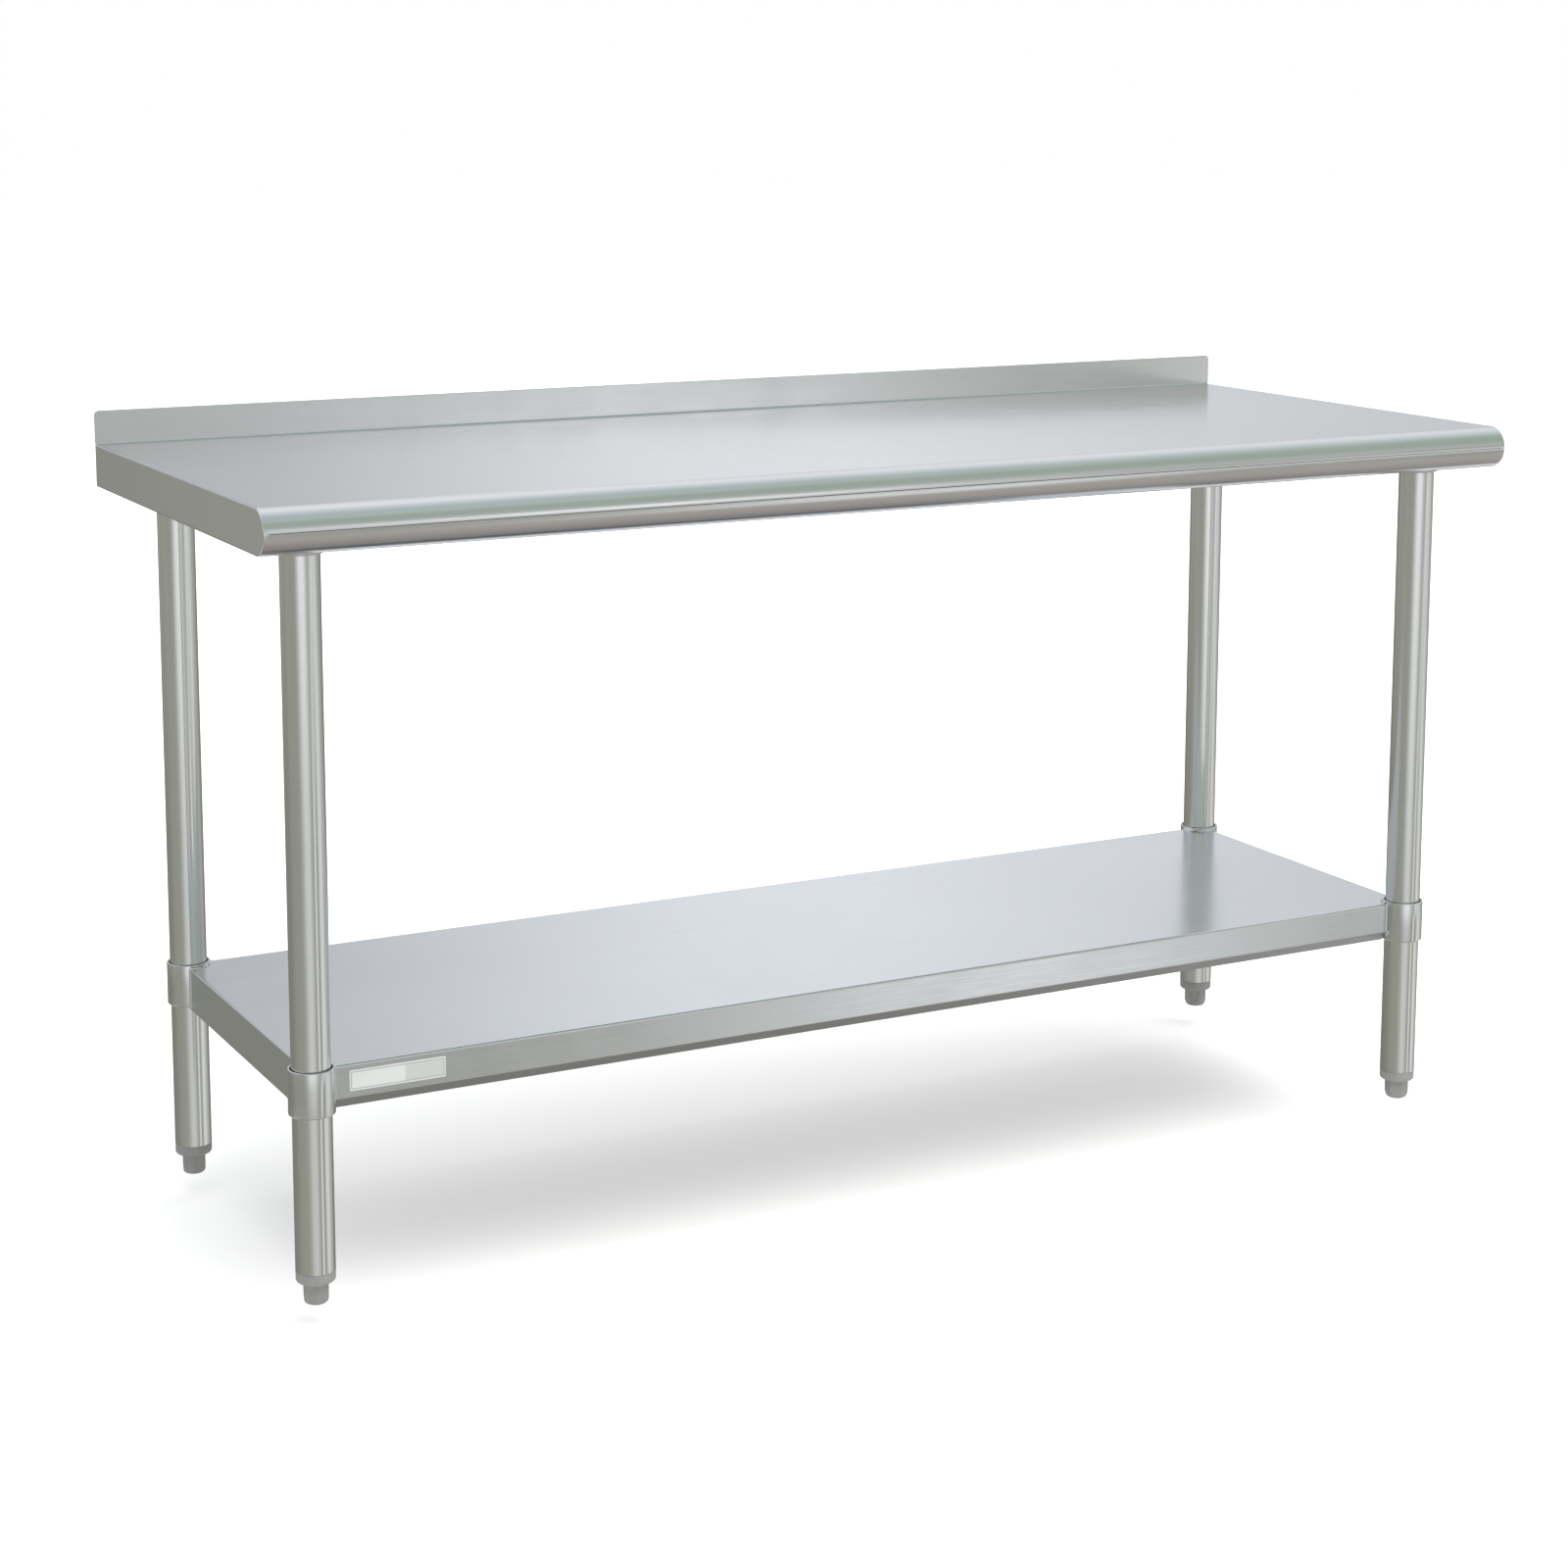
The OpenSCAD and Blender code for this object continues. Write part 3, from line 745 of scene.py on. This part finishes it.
def make_bolts(material):
    turn_each = 0.29
    head_height = 4 * MM
    thread_r = 3 * MM
    pitch = 1 * MM
    washer_face = 0.3 * MM
    shape = Shape()
    for i, (low, high) in enumerate(node_islands("socket_bolts")):
        flats = min(high.x - low.x, high.y - low.y)
        corner = hexagon_corner(flats)
        place = over(low, high, low.z)
        turn = i * turn_each
        rings = [
            hexagon(flats, 0, flats / 2 * 0.96, turn),
            hexagon(flats, 0.5 * MM, corner, turn),
            hexagon(flats, head_height - washer_face, corner, turn),
            circle(flats / 2 * 0.98, head_height - washer_face),
            circle(flats / 2 * 0.98, head_height),
        ]
        shape.loft(rings, place=place)
        grooved_rod(shape, thread_r, head_height - 0.2 * MM, high.z - low.z, pitch, place)
    finish_piece("socket_bolts_hex", shape, material, "frame", ["socket_bolts"])


def grub_screw(shape, r, length, key, place):
    """Set screw along local Z with a cup point at z = 0 and a hexagonal socket at its end."""
    key_depth = 4 * MM
    coarse_from = 3.5 * MM
    pitch = 1.25 * MM if r > coarse_from else 1 * MM
    cup = 0.8 * MM
    rings = [circle(r * 0.35, cup), circle(r * 0.62, 0), circle(r * 0.72, 0), circle(r * 0.9, cup)]
    z = 1 * MM
    while z < length - 1.2 * MM:
        rings += [circle(r * 0.88, z), circle(r, z + pitch * 0.45), circle(r, z + pitch * 0.55)]
        z += pitch
    rings += [
        circle(r * 0.9, length - 0.3 * MM),
        circle(r * 0.78, length),
        hexagon(key, length),
        hexagon(key, length - key_depth),
    ]
    shape.loft(rings, place=place)


def pointing(x, y, z, angle):
    """Local Z axis laid level in the plan direction angle, from the point."""
    level = Matrix.Rotation(math.pi / 2, 4, "Y")
    return at(x, y, z) @ Matrix.Rotation(angle, 4, "Z") @ level


def make_socket_set_screws(material):
    shape = Shape()
    boxes = node_islands("socket_set_screws")
    for leg, (_, row) in LEGS.items():
        x, y = leg_axis(leg)
        low, high = min(boxes, key=lambda box: ((box[0] + box[1]) / 2 - Vector((x, y, work_z))).length)
        tip = low.y if row < 0 else high.y
        place = pointing(x, tip, (low.z + high.z) / 2, -row * math.pi / 2)
        grub_screw(shape, (high.x - low.x) / 2, high.y - low.y, SOCKET_SCREW_KEY, place)
    finish_piece("socket_set_screws_hex", shape, material, "frame", ["socket_set_screws"])


def socket_plate(shape, width, low_z, high_z, place):
    corner_r = 8 * MM
    edge = 0.8 * MM
    top_edge = 0.3 * MM
    rings = []
    for inset, z in ((edge, low_z), (edge / 4, low_z + edge / 3), (0, low_z + edge), (0, high_z - top_edge),
                     (top_edge, high_z)):
        rings.append(rounded_rectangle(width - 2 * inset, width - 2 * inset, corner_r - inset, z))
    shape.loft(rings, place=place)


def socket_cup(shape, low_z, plate_low, plate_high, place):
    fillet = 3 * MM
    rim_r = (SOCKET_R - SOCKET_BORE_R) / 2
    profile = [(SOCKET_R + fillet, (plate_low + plate_high) / 2)]
    profile += arc((SOCKET_R + fillet, plate_low - fillet), fillet, 90, 180, 6)
    profile += arc((SOCKET_R - rim_r, low_z + rim_r), rim_r, 0, -180, 10)
    profile.append((SOCKET_BORE_R, plate_low))
    lathe(shape, profile, loop=False, place=place)


def socket_ribs(shape, width, low_z, plate_low, place):
    half = 2 * MM
    eased = 0.94
    root = SOCKET_R - 1 * MM
    reach = width / 2 - 3 * MM
    into_plate = plate_low + 1 * MM
    outline = [(root, low_z + 8 * MM), (reach, plate_low - 3 * MM), (reach, into_plate), (root, into_plate)]
    centre_r = sum(r for r, z in outline) / len(outline)
    centre_z = sum(z for r, z in outline) / len(outline)
    layers = ((-half, eased), (-half + 0.5 * MM, 1), (half - 0.5 * MM, 1), (half, eased))
    for quarter in range(4):
        rings = []
        for across, scale in layers:
            ring = []
            for r, z in outline:
                scaled_r = centre_r + (r - centre_r) * scale
                scaled_z = centre_z + (z - centre_z) * scale
                ring.append(Vector((scaled_r, across, scaled_z)))
            rings.append(ring)
        shape.loft(rings, place=place @ Matrix.Rotation(quarter * math.pi / 2, 4, "Z"))


def socket_boss(shape, x, y, row):
    """Boss that the set screw runs in, on the side that faces the middle of the table."""
    low, high = node_islands("socket_set_screws")[0]
    hole_r = (high.x - low.x) / 2 + 0.1 * MM
    root = SOCKET_BORE_R + 1.2 * MM
    outer_edge = 0.8 * MM
    hole_edge = 0.5 * MM
    profile = [
        (SOCKET_BOSS_R, root),
        (SOCKET_BOSS_R, SOCKET_BOSS_LENGTH - outer_edge),
        (SOCKET_BOSS_R - outer_edge, SOCKET_BOSS_LENGTH),
        (hole_r + hole_edge, SOCKET_BOSS_LENGTH),
        (hole_r, SOCKET_BOSS_LENGTH - hole_edge),
        (hole_r, root),
    ]
    lathe(shape, profile, place=pointing(x, y, (low.z + high.z) / 2, -row * math.pi / 2), steps=SMALL_STEPS)


def make_socket(leg, material):
    """Cast socket: bolted flange, cup with a rolled rim, four ribs and the set screw's boss."""
    node = f"leg_socket_{leg}"
    low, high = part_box(node)
    x, y = leg_axis(leg)
    width = high.x - low.x
    plate_low = high.z - SOCKET_PLATE
    shape = Shape()
    socket_plate(shape, width, plate_low, high.z, on_leg(leg))
    socket_cup(shape, low.z, plate_low, high.z, on_leg(leg))
    socket_ribs(shape, width, low.z, plate_low, on_leg(leg))
    socket_boss(shape, x, y, LEGS[leg][1])
    finish_piece(f"{node}_cast", shape, material, "frame", [node])


# ------ legs and feet


def make_leg(leg, material):
    node = f"leg_{leg}"
    low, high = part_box(node)
    r = (high.x - low.x) / 2
    inner = r - LEG_WALL
    edge = 0.25 * MM
    lower = [(inner, low.z + edge), (inner + edge, low.z), (r - edge, low.z), (r, low.z + edge)]
    upper = [(r, high.z - edge), (r - edge, high.z), (inner + edge, high.z), (inner, high.z - edge)]
    shape = Shape()
    lathe(shape, lower + upper, place=on_leg(leg), steps=TUBE_STEPS)
    finish_piece(f"{node}_tube", shape, material, "frame", [node])


def make_plug(leg, material):
    """Moulded plug: a cap with a rounded lower edge, a barbed body and the stud's bore."""
    node = f"leg_plug_{leg}"
    low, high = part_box(node)
    cap_r = (high.x - low.x) / 2
    body_r = cap_r - LEG_WALL - 1.2 * MM
    bore_r = STUD_R + STUD_GAP
    cap_top = low.z + CAP_HEIGHT
    edge_r = 3.5 * MM
    top_edge_r = 0.4 * MM
    bore_edge = 0.6 * MM
    barb_r = body_r + 1 * MM
    profile = [(bore_r, low.z + bore_edge), (bore_r + bore_edge, low.z)]
    profile += arc((cap_r - edge_r, low.z + edge_r), edge_r, -90, 0, 8)
    profile += arc((cap_r - top_edge_r, cap_top - top_edge_r), top_edge_r, 0, 90, 3)
    profile.append((body_r, cap_top))
    for z in (cap_top + 4 * MM, cap_top + 20 * MM, high.z - 8 * MM):
        profile += [(body_r, z), (barb_r, z + 0.5 * MM), (barb_r, z + 2 * MM), (body_r, z + 4 * MM)]
    profile += [(body_r, high.z - 1 * MM), (body_r - 1 * MM, high.z), (bore_r + bore_edge, high.z)]
    profile.append((bore_r, high.z - bore_edge))
    shape = Shape()
    lathe(shape, profile, place=on_leg(leg))
    finish_piece(f"{node}_moulded", shape, material, "frame", [node])


def make_stud(leg, material):
    """Levelling stud with its helical thread."""
    node = f"foot_stud_{leg}"
    low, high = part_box(node)
    steps = 32
    rows_a_turn = 8
    root_r = STUD_R - 1.3 * MM
    end_r = root_r * 0.8
    fade_length = 1.5 * MM
    crest_height = 1.25
    flank_slope = 3.2
    rows = int((high.z - low.z) / THREAD_PITCH * rows_a_turn)
    rings = [circle(end_r, low.z, steps)]
    for row in range(1, rows):
        z = low.z + (high.z - low.z) * row / rows
        fade = min((high.z - z) / fade_length, (z - low.z) / fade_length, 1)
        ring = []
        for i in range(steps):
            phase = (z / THREAD_PITCH - i / steps) % 1
            crest = min(max(crest_height - abs(phase - 0.5) * flank_slope, 0), 1)
            r = root_r + (STUD_R - root_r) * crest * fade
            ring.append(polar(r, 2 * math.pi * i / steps, z))
        rings.append(ring)
    rings.append(circle(end_r, high.z, steps))
    shape = Shape()
    shape.loft(rings, place=on_leg(leg))
    finish_piece(f"{node}_threaded", shape, material, f"{leg}_stud", [node], sharp=60)


def make_hex_foot(leg, material):
    """Hexagonal foot turned down to a round end, with the stud's blind bore."""
    node = f"hex_foot_{leg}"
    low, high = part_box(node)
    height = high.z - low.z
    corner = hexagon_corner(FOOT_FLATS)
    sole_r = FOOT_FLATS / 2 - 3 * MM
    turned_r = 4.2 * MM
    top_edge = 0.5 * MM
    bore_floor = 5.7 * MM
    outer = [(sole_r, 0)]
    outer += arc((sole_r - 0.6 * MM, turned_r), turned_r, -75, -8, 8)
    outer += [(corner, 6.3 * MM), (corner, height - 0.6 * MM), (corner - top_edge, height)]
    rings = [hexagon(FOOT_FLATS, z, reach, FOOT_TURN) for reach, z in outer]
    rings.append(hexagon(FOOT_FLATS - 2 * top_edge, height, corner - 0.8 * MM, FOOT_TURN))
    bore_r = STUD_R + STUD_GAP
    rings += [
        circle(bore_r + top_edge, height),
        circle(bore_r, height - top_edge),
        circle(bore_r, bore_floor),
    ]
    shape = Shape()
    shape.loft(rings, place=on_leg(leg))
    finish_piece(f"{node}_moulded", shape, material, f"{leg}_foot", [node], sharp=25)


# ------ undershelf


def make_shelf_panel(material, end_material):
    """Shelf folded from one sheet, with its corners cut out for the collars."""
    low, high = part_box("shelf_panel")
    flange_z = low.z + SHELF_LIP
    bend = (1 * MM, 6)
    lead = 5 * MM
    inside_collar = 12 * MM
    path = [
        (low.y + SHELF_LIP, low.z),
        (low.y, flange_z, *bend),
        (low.y, high.z, *bend),
        (high.y, high.z, *bend),
        (high.y, flange_z, *bend),
        (high.y - SHELF_LIP, low.z),
    ]
    left_edge = [(low.x, low.z), (low.x, high.z, *bend), (low.x + lead, high.z)]
    right_edge = [(high.x - lead, high.z), (high.x, high.z, *bend), (high.x, low.z)]
    reach = high.x - lead
    stretch = (low.y + inside_collar, high.y - inside_collar)
    shape = Shape()
    sweep_sheet(shape, bent_sheet(path, SHELF_SHEET), along_x, lambda face: (-reach, reach))
    for edge in (left_edge, right_edge):
        sweep_sheet(shape, bent_sheet(edge, SHELF_SHEET), along_y, lambda face: stretch)
    panel = finish_piece("shelf_panel_sheet", shape, material, "undershelf", ["shelf_panel"],
                         end_material=end_material)
    cut_r = COLLAR_R - COLLAR_WALL / 2
    past = 5 * MM
    cutter_shape = Shape()
    for leg in LEGS:
        rings = [circle(cut_r, low.z - past, ROUND_STEPS), circle(cut_r, high.z + past, ROUND_STEPS)]
        cutter_shape.loft(rings, place=on_leg(leg))
    cut(panel, cutter_shape)


def cut(piece, cutter_shape):
    """Takes a shape out of a piece for good."""
    cutter = bpy.data.objects.new("cutter", closed_mesh("cutter", cutter_shape))
    bpy.context.scene.collection.objects.link(cutter)
    cutting = piece.modifiers.new("cut", "BOOLEAN")
    cutting.object = cutter
    cutting.operation = "DIFFERENCE"
    cutting.solver = "EXACT"
    cutting.use_self = True
    with bpy.context.temp_override(object=piece, active_object=piece, selected_objects=[piece]):
        bpy.ops.object.modifier_apply(modifier=cutting.name)
    bpy.data.objects.remove(cutter)
    shade(piece.data, SHARP_ANGLE)


def collar_bead(leg, shelf_low, shelf_high):
    """Route of the weld between a collar and the shelf: up the lengthwise flange, round the
    collar on the shelf's face, and down the side flange."""
    side, row = LEGS[leg]
    x, y = leg_axis(leg)
    bead_r = COLLAR_R + 0.2 * MM
    side_angle = math.acos((abs(x) - abs(shelf_high.x)) / bead_r)
    rise = 26
    quarter = 30
    drop = 32
    route = [(0.0, shelf_low.z + SHELF_LIP + (SHELF_SKIRT - SHELF_LIP) * i / rise) for i in range(rise)]
    route += [(side_angle * i / quarter, shelf_high.z + 0.2 * MM) for i in range(quarter + 1)]
    route += [(side_angle, shelf_high.z - SHELF_SKIRT * 0.97 * i / drop) for i in range(1, drop + 1)]
    points = []
    for angle, z in route:
        points.append(Vector((x - side * bead_r * math.cos(angle), y - row * bead_r * math.sin(angle), z)))
    return points


def make_collar(leg, material):
    """Collar with eased edges, a welded nut, and the bead that joins it to the shelf."""
    node = f"shelf_collar_{leg}"
    side, row = LEGS[leg]
    shelf_low, shelf_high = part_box("shelf_panel")
    low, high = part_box(node)
    inner = COLLAR_R - COLLAR_WALL
    lower_edge = 1.2 * MM
    upper_edge = 0.6 * MM
    inner_upper_edge = 0.5 * MM
    inner_lower_edge = 0.4 * MM
    profile = arc((COLLAR_R - lower_edge, low.z + lower_edge), lower_edge, -90, 0, 5)
    profile += arc((COLLAR_R - upper_edge, high.z - upper_edge), upper_edge, 0, 90, 4)
    profile += arc((inner + inner_upper_edge, high.z - inner_upper_edge), inner_upper_edge, 90, 180, 4)
    profile += [(inner, low.z + inner_lower_edge), (inner + inner_lower_edge, low.z)]
    shape = Shape()
    lathe(shape, profile, place=on_leg(leg), steps=TUBE_STEPS)
    nut_drop = 25 * MM
    into_wall = 1 * MM
    outwards = pointing(*leg_axis(leg), shelf_high.z - nut_drop, math.atan2(-row, -side))
    nut(shape, 12 * MM, 7 * MM, 3.05 * MM, outwards @ at(0, 0, COLLAR_R - into_wall))
    weld_bead(shape, collar_bead(leg, shelf_low, shelf_high), WELD_R)
    finish_piece(f"{node}_welded", shape, material, "undershelf", [node])


def make_shelf_set_screws(material):
    shape = Shape()
    low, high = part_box("shelf_set_screws")
    for leg, (side, row) in LEGS.items():
        leg_low, leg_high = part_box(f"leg_{leg}")
        start = (leg_high.x - leg_low.x) / 2 + 0.3 * MM
        outwards = pointing(*leg_axis(leg), (low.z + high.z) / 2, math.atan2(-row, -side))
        grub_screw(shape, *SHELF_SCREW, outwards @ at(0, 0, start))
    finish_piece("shelf_set_screws_hex", shape, material, "undershelf", ["shelf_set_screws"])


def make_label(material):
    """Blank sticker with rounded corners and a rounded face edge."""
    low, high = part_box("blank_label")
    width = high.x - low.x
    height = high.z - low.z
    thick = high.y - low.y
    r = 1.5 * MM
    ease = 0.12 * MM
    rings = [
        rounded_rectangle(width, height, r, 0),
        rounded_rectangle(width, height, r, thick - ease),
        rounded_rectangle(width - 2 * ease, height - 2 * ease, r - ease, thick),
    ]
    shape = Shape()
    upright = at((low.x + high.x) / 2, high.y, (low.z + high.z) / 2) @ Matrix.Rotation(math.pi / 2, 4, "X")
    shape.loft(rings, place=upright)
    finish_piece("blank_label_film", shape, material, "undershelf", ["blank_label"])


# ------ studio


def ramp(tree, factor, stops):
    """Colour ramp from (position, colour) stops."""
    made = add_node(tree, "ValToRGB", {"Fac": factor})
    elements = made.color_ramp.elements
    while len(elements) < len(stops):
        elements.new(0.5)
    for element, (position, colour) in zip(elements, stops):
        element.position = position
        element.color = (*colour, 1)
    return made.outputs["Color"]


def make_world():
    """Studio seen in the metal: soft panels round the table, a bright ceiling and a grey floor.
    The camera itself sees plain white."""
    world = bpy.data.worlds.new("studio")
    bpy.context.scene.world = world
    world.use_nodes = True
    tree = world.node_tree
    tree.nodes.clear()
    direction = add_node(tree, "TexCoord").outputs["Generated"]
    apart = add_node(tree, "SeparateXYZ", {"Vector": direction})
    towards_front = calculate(tree, "MULTIPLY", apart.outputs["Y"], -1.0)
    azimuth = calculate(tree, "ARCTAN2", apart.outputs["X"], towards_front)
    height = calculate(tree, "ARCSINE", apart.outputs["Z"])
    round_the_room = spread(tree, azimuth, 0, 1, -math.pi, math.pi)
    up_the_room = spread(tree, height, 0, 1, -math.pi / 2, math.pi / 2)

    def panels(tone, *stops):
        """Ramp round the room; stops give degrees from the front towards the right, and levels
        that tone turns into colours."""
        placed = [((degrees + 180) / 360, tone(level)) for degrees, level in stops]
        return ramp(tree, round_the_room, placed)

    def levels(*stops):
        """Ramp up the room; stops give degrees above the horizon."""
        return ramp(tree, up_the_room, [((degrees + 90) / 180, colour) for degrees, colour in stops])

    def band(*stops):
        """Mask that is one between its middle two stops, in degrees above the horizon."""
        return levels(*zip(stops, (BLACK, WHITE, WHITE, BLACK)))

    def wall(level):
        """Grey of a panel: olive where it is dark, faintly blue where it is bright."""
        return (level, level * 1.012, level * (0.80 + 0.26 * min(level, 0.85)))

    def sky(level):
        return (level, level * 1.025, level * 1.06)

    eye_ring = panels(
        wall, (-180, 0.23), (-168, 0.24), (-160, 0.42), (-125, 0.38), (-101, 0.42), (-66, 0.37),
        (-49, 0.42), (-38, 0.66), (-22, 1.10), (-1, 1.08), (10, 0.72), (20, 0.56), (34, 0.46),
        (38.5, 1.02), (43, 1.02), (49, 0.80), (66, 0.78), (86, 0.50), (112, 0.38), (124, 0.27),
        (180, 0.23),
    )
    low_ring = panels(
        wall, (-180, 0.23), (-150, 0.27), (-125, 0.28), (-101, 0.35), (-66, 0.38), (-49, 0.39),
        (-35, 0.50), (-20, 0.70), (-2, 0.74), (12, 0.54), (20, 0.36), (26, 0.42), (30.5, 1.12),
        (34.5, 1.12), (38, 0.36), (47, 0.36), (54, 0.66), (64, 0.94), (76, 0.80), (88, 0.60),
        (115, 0.34), (124, 0.22), (180, 0.21),
    )
    over_ring = panels(
        wall, (-180, 0.66), (6, 0.68), (16, 0.62), (21, 1.00), (24, 1.45), (27, 1.40), (32, 0.52),
        (37, 0.44), (60, 0.46), (180, 0.62),
    )
    behind_low = panels(
        sky, (-180, 0.50), (-120, 0.60), (-60, 0.80), (60, 0.80), (120, 0.62), (138, 0.64),
        (146, 0.82), (151, 0.96), (155, 0.90), (162, 0.54), (168, 0.47), (180, 0.47),
    )
    front_levels = levels(
        (-90, (0.31, 0.29, 0.27)), (-66, (0.36, 0.33, 0.31)), (-50, (0.44, 0.41, 0.38)),
        (-36, (0.48, 0.45, 0.41)), (-12, (0.53, 0.52, 0.49)), (0, (0.70, 0.71, 0.70)),
        (5, (0.80, 0.81, 0.80)), (11, (0.62, 0.66, 0.66)), (18, (0.50, 0.55, 0.53)),
        (29, (0.43, 0.49, 0.41)), (42, (0.45, 0.53, 0.45)), (50, (0.54, 0.63, 0.60)),
        (62, (0.52, 0.61, 0.61)), (76, (0.54, 0.62, 0.64)), (90, (0.78, 0.82, 0.86)),
    )
    rear_levels = levels(
        (-90, (0.27, 0.275, 0.255)), (-58, (0.22, 0.21, 0.19)), (-48, (0.26, 0.255, 0.24)),
        (-41, (0.98, 1.0, 1.04)), (-33, (0.98, 1.0, 1.04)), (-22, (0.4, 0.41, 0.38)),
        (22, (0.72, 0.74, 0.77)), (32, (0.88, 0.90, 0.94)), (58, (1.02, 1.04, 1.08)),
        (70, (0.95, 0.98, 1.03)), (90, (0.78, 0.82, 0.86)),
    )
    behind = spread(tree, apart.outputs["Y"], 0, 1, -0.25, 0.35)
    dome = blend_colours(tree, behind, front_levels, rear_levels)
    near_eye = spread(tree, height, 0, 1, math.radians(-14), math.radians(-9))
    ring = blend_colours(tree, near_eye, low_ring, eye_ring)
    ringed = blend_colours(tree, band(-36, -21.6, -1.8, 2.7), dome, ring)
    in_front = calculate(tree, "SUBTRACT", 1.0, behind)
    over_front = calculate(tree, "MULTIPLY", band(-0.9, 2.7, 8.1, 12.6), in_front)
    topped = blend_colours(tree, over_front, ringed, over_ring)
    high_behind = calculate(tree, "MULTIPLY", band(-1.8, 10.8, 18, 25.2), behind)
    room = blend_colours(tree, high_behind, topped, behind_low)
    sees = add_node(tree, "LightPath").outputs["Is Camera Ray"]
    seen = blend_colours(tree, sees, room, WHITE)
    shine = add_node(tree, "Background", {"Color": seen, "Strength": 1.0})
    out = add_node(tree, "OutputWorld")
    tree.links.new(shine.outputs[0], out.inputs["Surface"])


def make_floor():
    """Pale floor that glows more away from the table, so that it ends in the white backdrop."""
    reach = 30
    clear_of_feet = 0.4 * MM
    glow_near = 0.31
    glow_far = 0.8
    ramp_start = 1.3
    ramp_stop = 3.5
    corners = [(-reach, -reach, 0), (reach, -reach, 0), (reach, reach, 0), (-reach, reach, 0)]
    mesh = bpy.data.meshes.new("floor")
    mesh.from_pydata(corners, [], [(0, 1, 2, 3)])
    floor = bpy.data.objects.new("floor", mesh)
    floor.location.z = cad_low.z - FOOT_TRAVEL - clear_of_feet
    bpy.context.scene.collection.objects.link(floor)
    material, tree, shader, place = new_material("studio_floor")
    shader.inputs["Base Color"].default_value = (0.88, 0.86, 0.855, 1)
    shader.inputs["Roughness"].default_value = 0.9
    shader.inputs["Specular IOR Level"].default_value = 0.1
    shader.inputs["Emission Color"].default_value = (*WHITE, 1)
    away = add_node(tree, "VectorMath", {0: place}, operation="LENGTH").outputs["Value"]
    glow = spread(tree, away, glow_near, glow_far, ramp_start, ramp_stop)
    tree.links.new(glow, shader.inputs["Emission Strength"])
    mesh.materials.append(material)
    floor.visible_glossy = False


def make_softbox(name, place, size, power, target):
    """Area light that shines towards the target, and isn't seen in the metal."""
    data = bpy.data.lights.new(name, "AREA")
    data.shape = "RECTANGLE"
    data.size, data.size_y = size
    data.energy = power
    light = bpy.data.objects.new(name, data)
    light.location = place
    light.rotation_euler = (Vector(target) - Vector(place)).to_track_quat("-Z", "Y").to_euler()
    bpy.context.scene.collection.objects.link(light)
    light.visible_glossy = False


def make_camera():
    """Three-quarter view from the front left, level with a person looking down at the table."""
    heading = math.radians(-27.21)
    tilt = math.radians(-8.6)
    data = bpy.data.cameras.new("camera")
    data.lens = 69.64
    data.sensor_width = 36
    data.shift_x = 0.0191
    data.shift_y = -0.156
    camera = bpy.data.objects.new("camera", data)
    camera.location = (-1.6537, -3.0579, 1.2400)
    camera.rotation_euler = (math.pi / 2 + tilt, 0, heading)
    bpy.context.scene.collection.objects.link(camera)
    bpy.context.scene.camera = camera


# ------ the whole table

make_camera()
make_world()
make_floor()
make_softbox("overhead", (0.4, -0.9, 3.2), (4.5, 3.5), 165, (0, 0, 0))
bpy.context.scene.view_settings.view_transform = "Standard"

label_low, label_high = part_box("blank_label")
STEEL = (0.72, 0.73, 0.74)
top_steel = brushed_metal("top_steel", STEEL, 0.18, (0.01, 1, 1))
apron_steel = brushed_metal("apron_steel", STEEL, 0.2, (1, 0.01, 1))
leg_steel = brushed_metal("leg_steel", (0.72, 0.73, 0.72), 0.17, (1, 1, 0.008))
shelf_steel = brushed_metal("shelf_steel", (0.74, 0.76, 0.785), 0.2, (0.02, 1, 1))
flange_steel = brushed_metal("flange_steel", (0.74, 0.76, 0.785), 0.24, (1, 0.02, 1))
collar_steel = brushed_metal("collar_steel", (0.69, 0.70, 0.70), 0.18, (1, 1, 0.02))
channel_zinc = galvanised("channel_zinc", (0.66, 0.69, 0.71))
socket_alloy = cast_metal("socket_alloy", (0.60, 0.61, 0.62))
fastener_zinc = zinc_plate("fastener_zinc", (0.66, 0.67, 0.69))
stud_zinc = zinc_plate("stud_zinc", (0.62, 0.63, 0.65))
foot_plastic = moulded_plastic("foot_plastic", (0.255, 0.25, 0.245))
film = label_film("label_print", (0.58, 0.58, 0.575), (0.30, 0.31, 0.32), label_low, label_high)

make_table_top(top_steel, apron_steel)
hat_channel("centre_channel", "x", channel_zinc, "frame")
for hand in ("left", "right"):
    hat_channel(f"{hand}_cross_channel", "y", channel_zinc, "frame")
hat_channel("shelf_channel", "x", channel_zinc, "undershelf")
make_weld_studs(stud_zinc)
make_nuts("stud_nuts", 2.55 * MM, fastener_zinc)
make_nuts("socket_nuts", 3.05 * MM, fastener_zinc)
make_bolts(fastener_zinc)
make_socket_set_screws(fastener_zinc)
make_shelf_panel(shelf_steel, flange_steel)
make_shelf_set_screws(fastener_zinc)
make_label(film)
for leg in LEGS:
    make_socket(leg, socket_alloy)
    make_leg(leg, leg_steel)
    make_plug(leg, foot_plastic)
    make_stud(leg, stud_zinc)
    make_hex_foot(leg, foot_plastic)
    make_collar(leg, collar_steel)
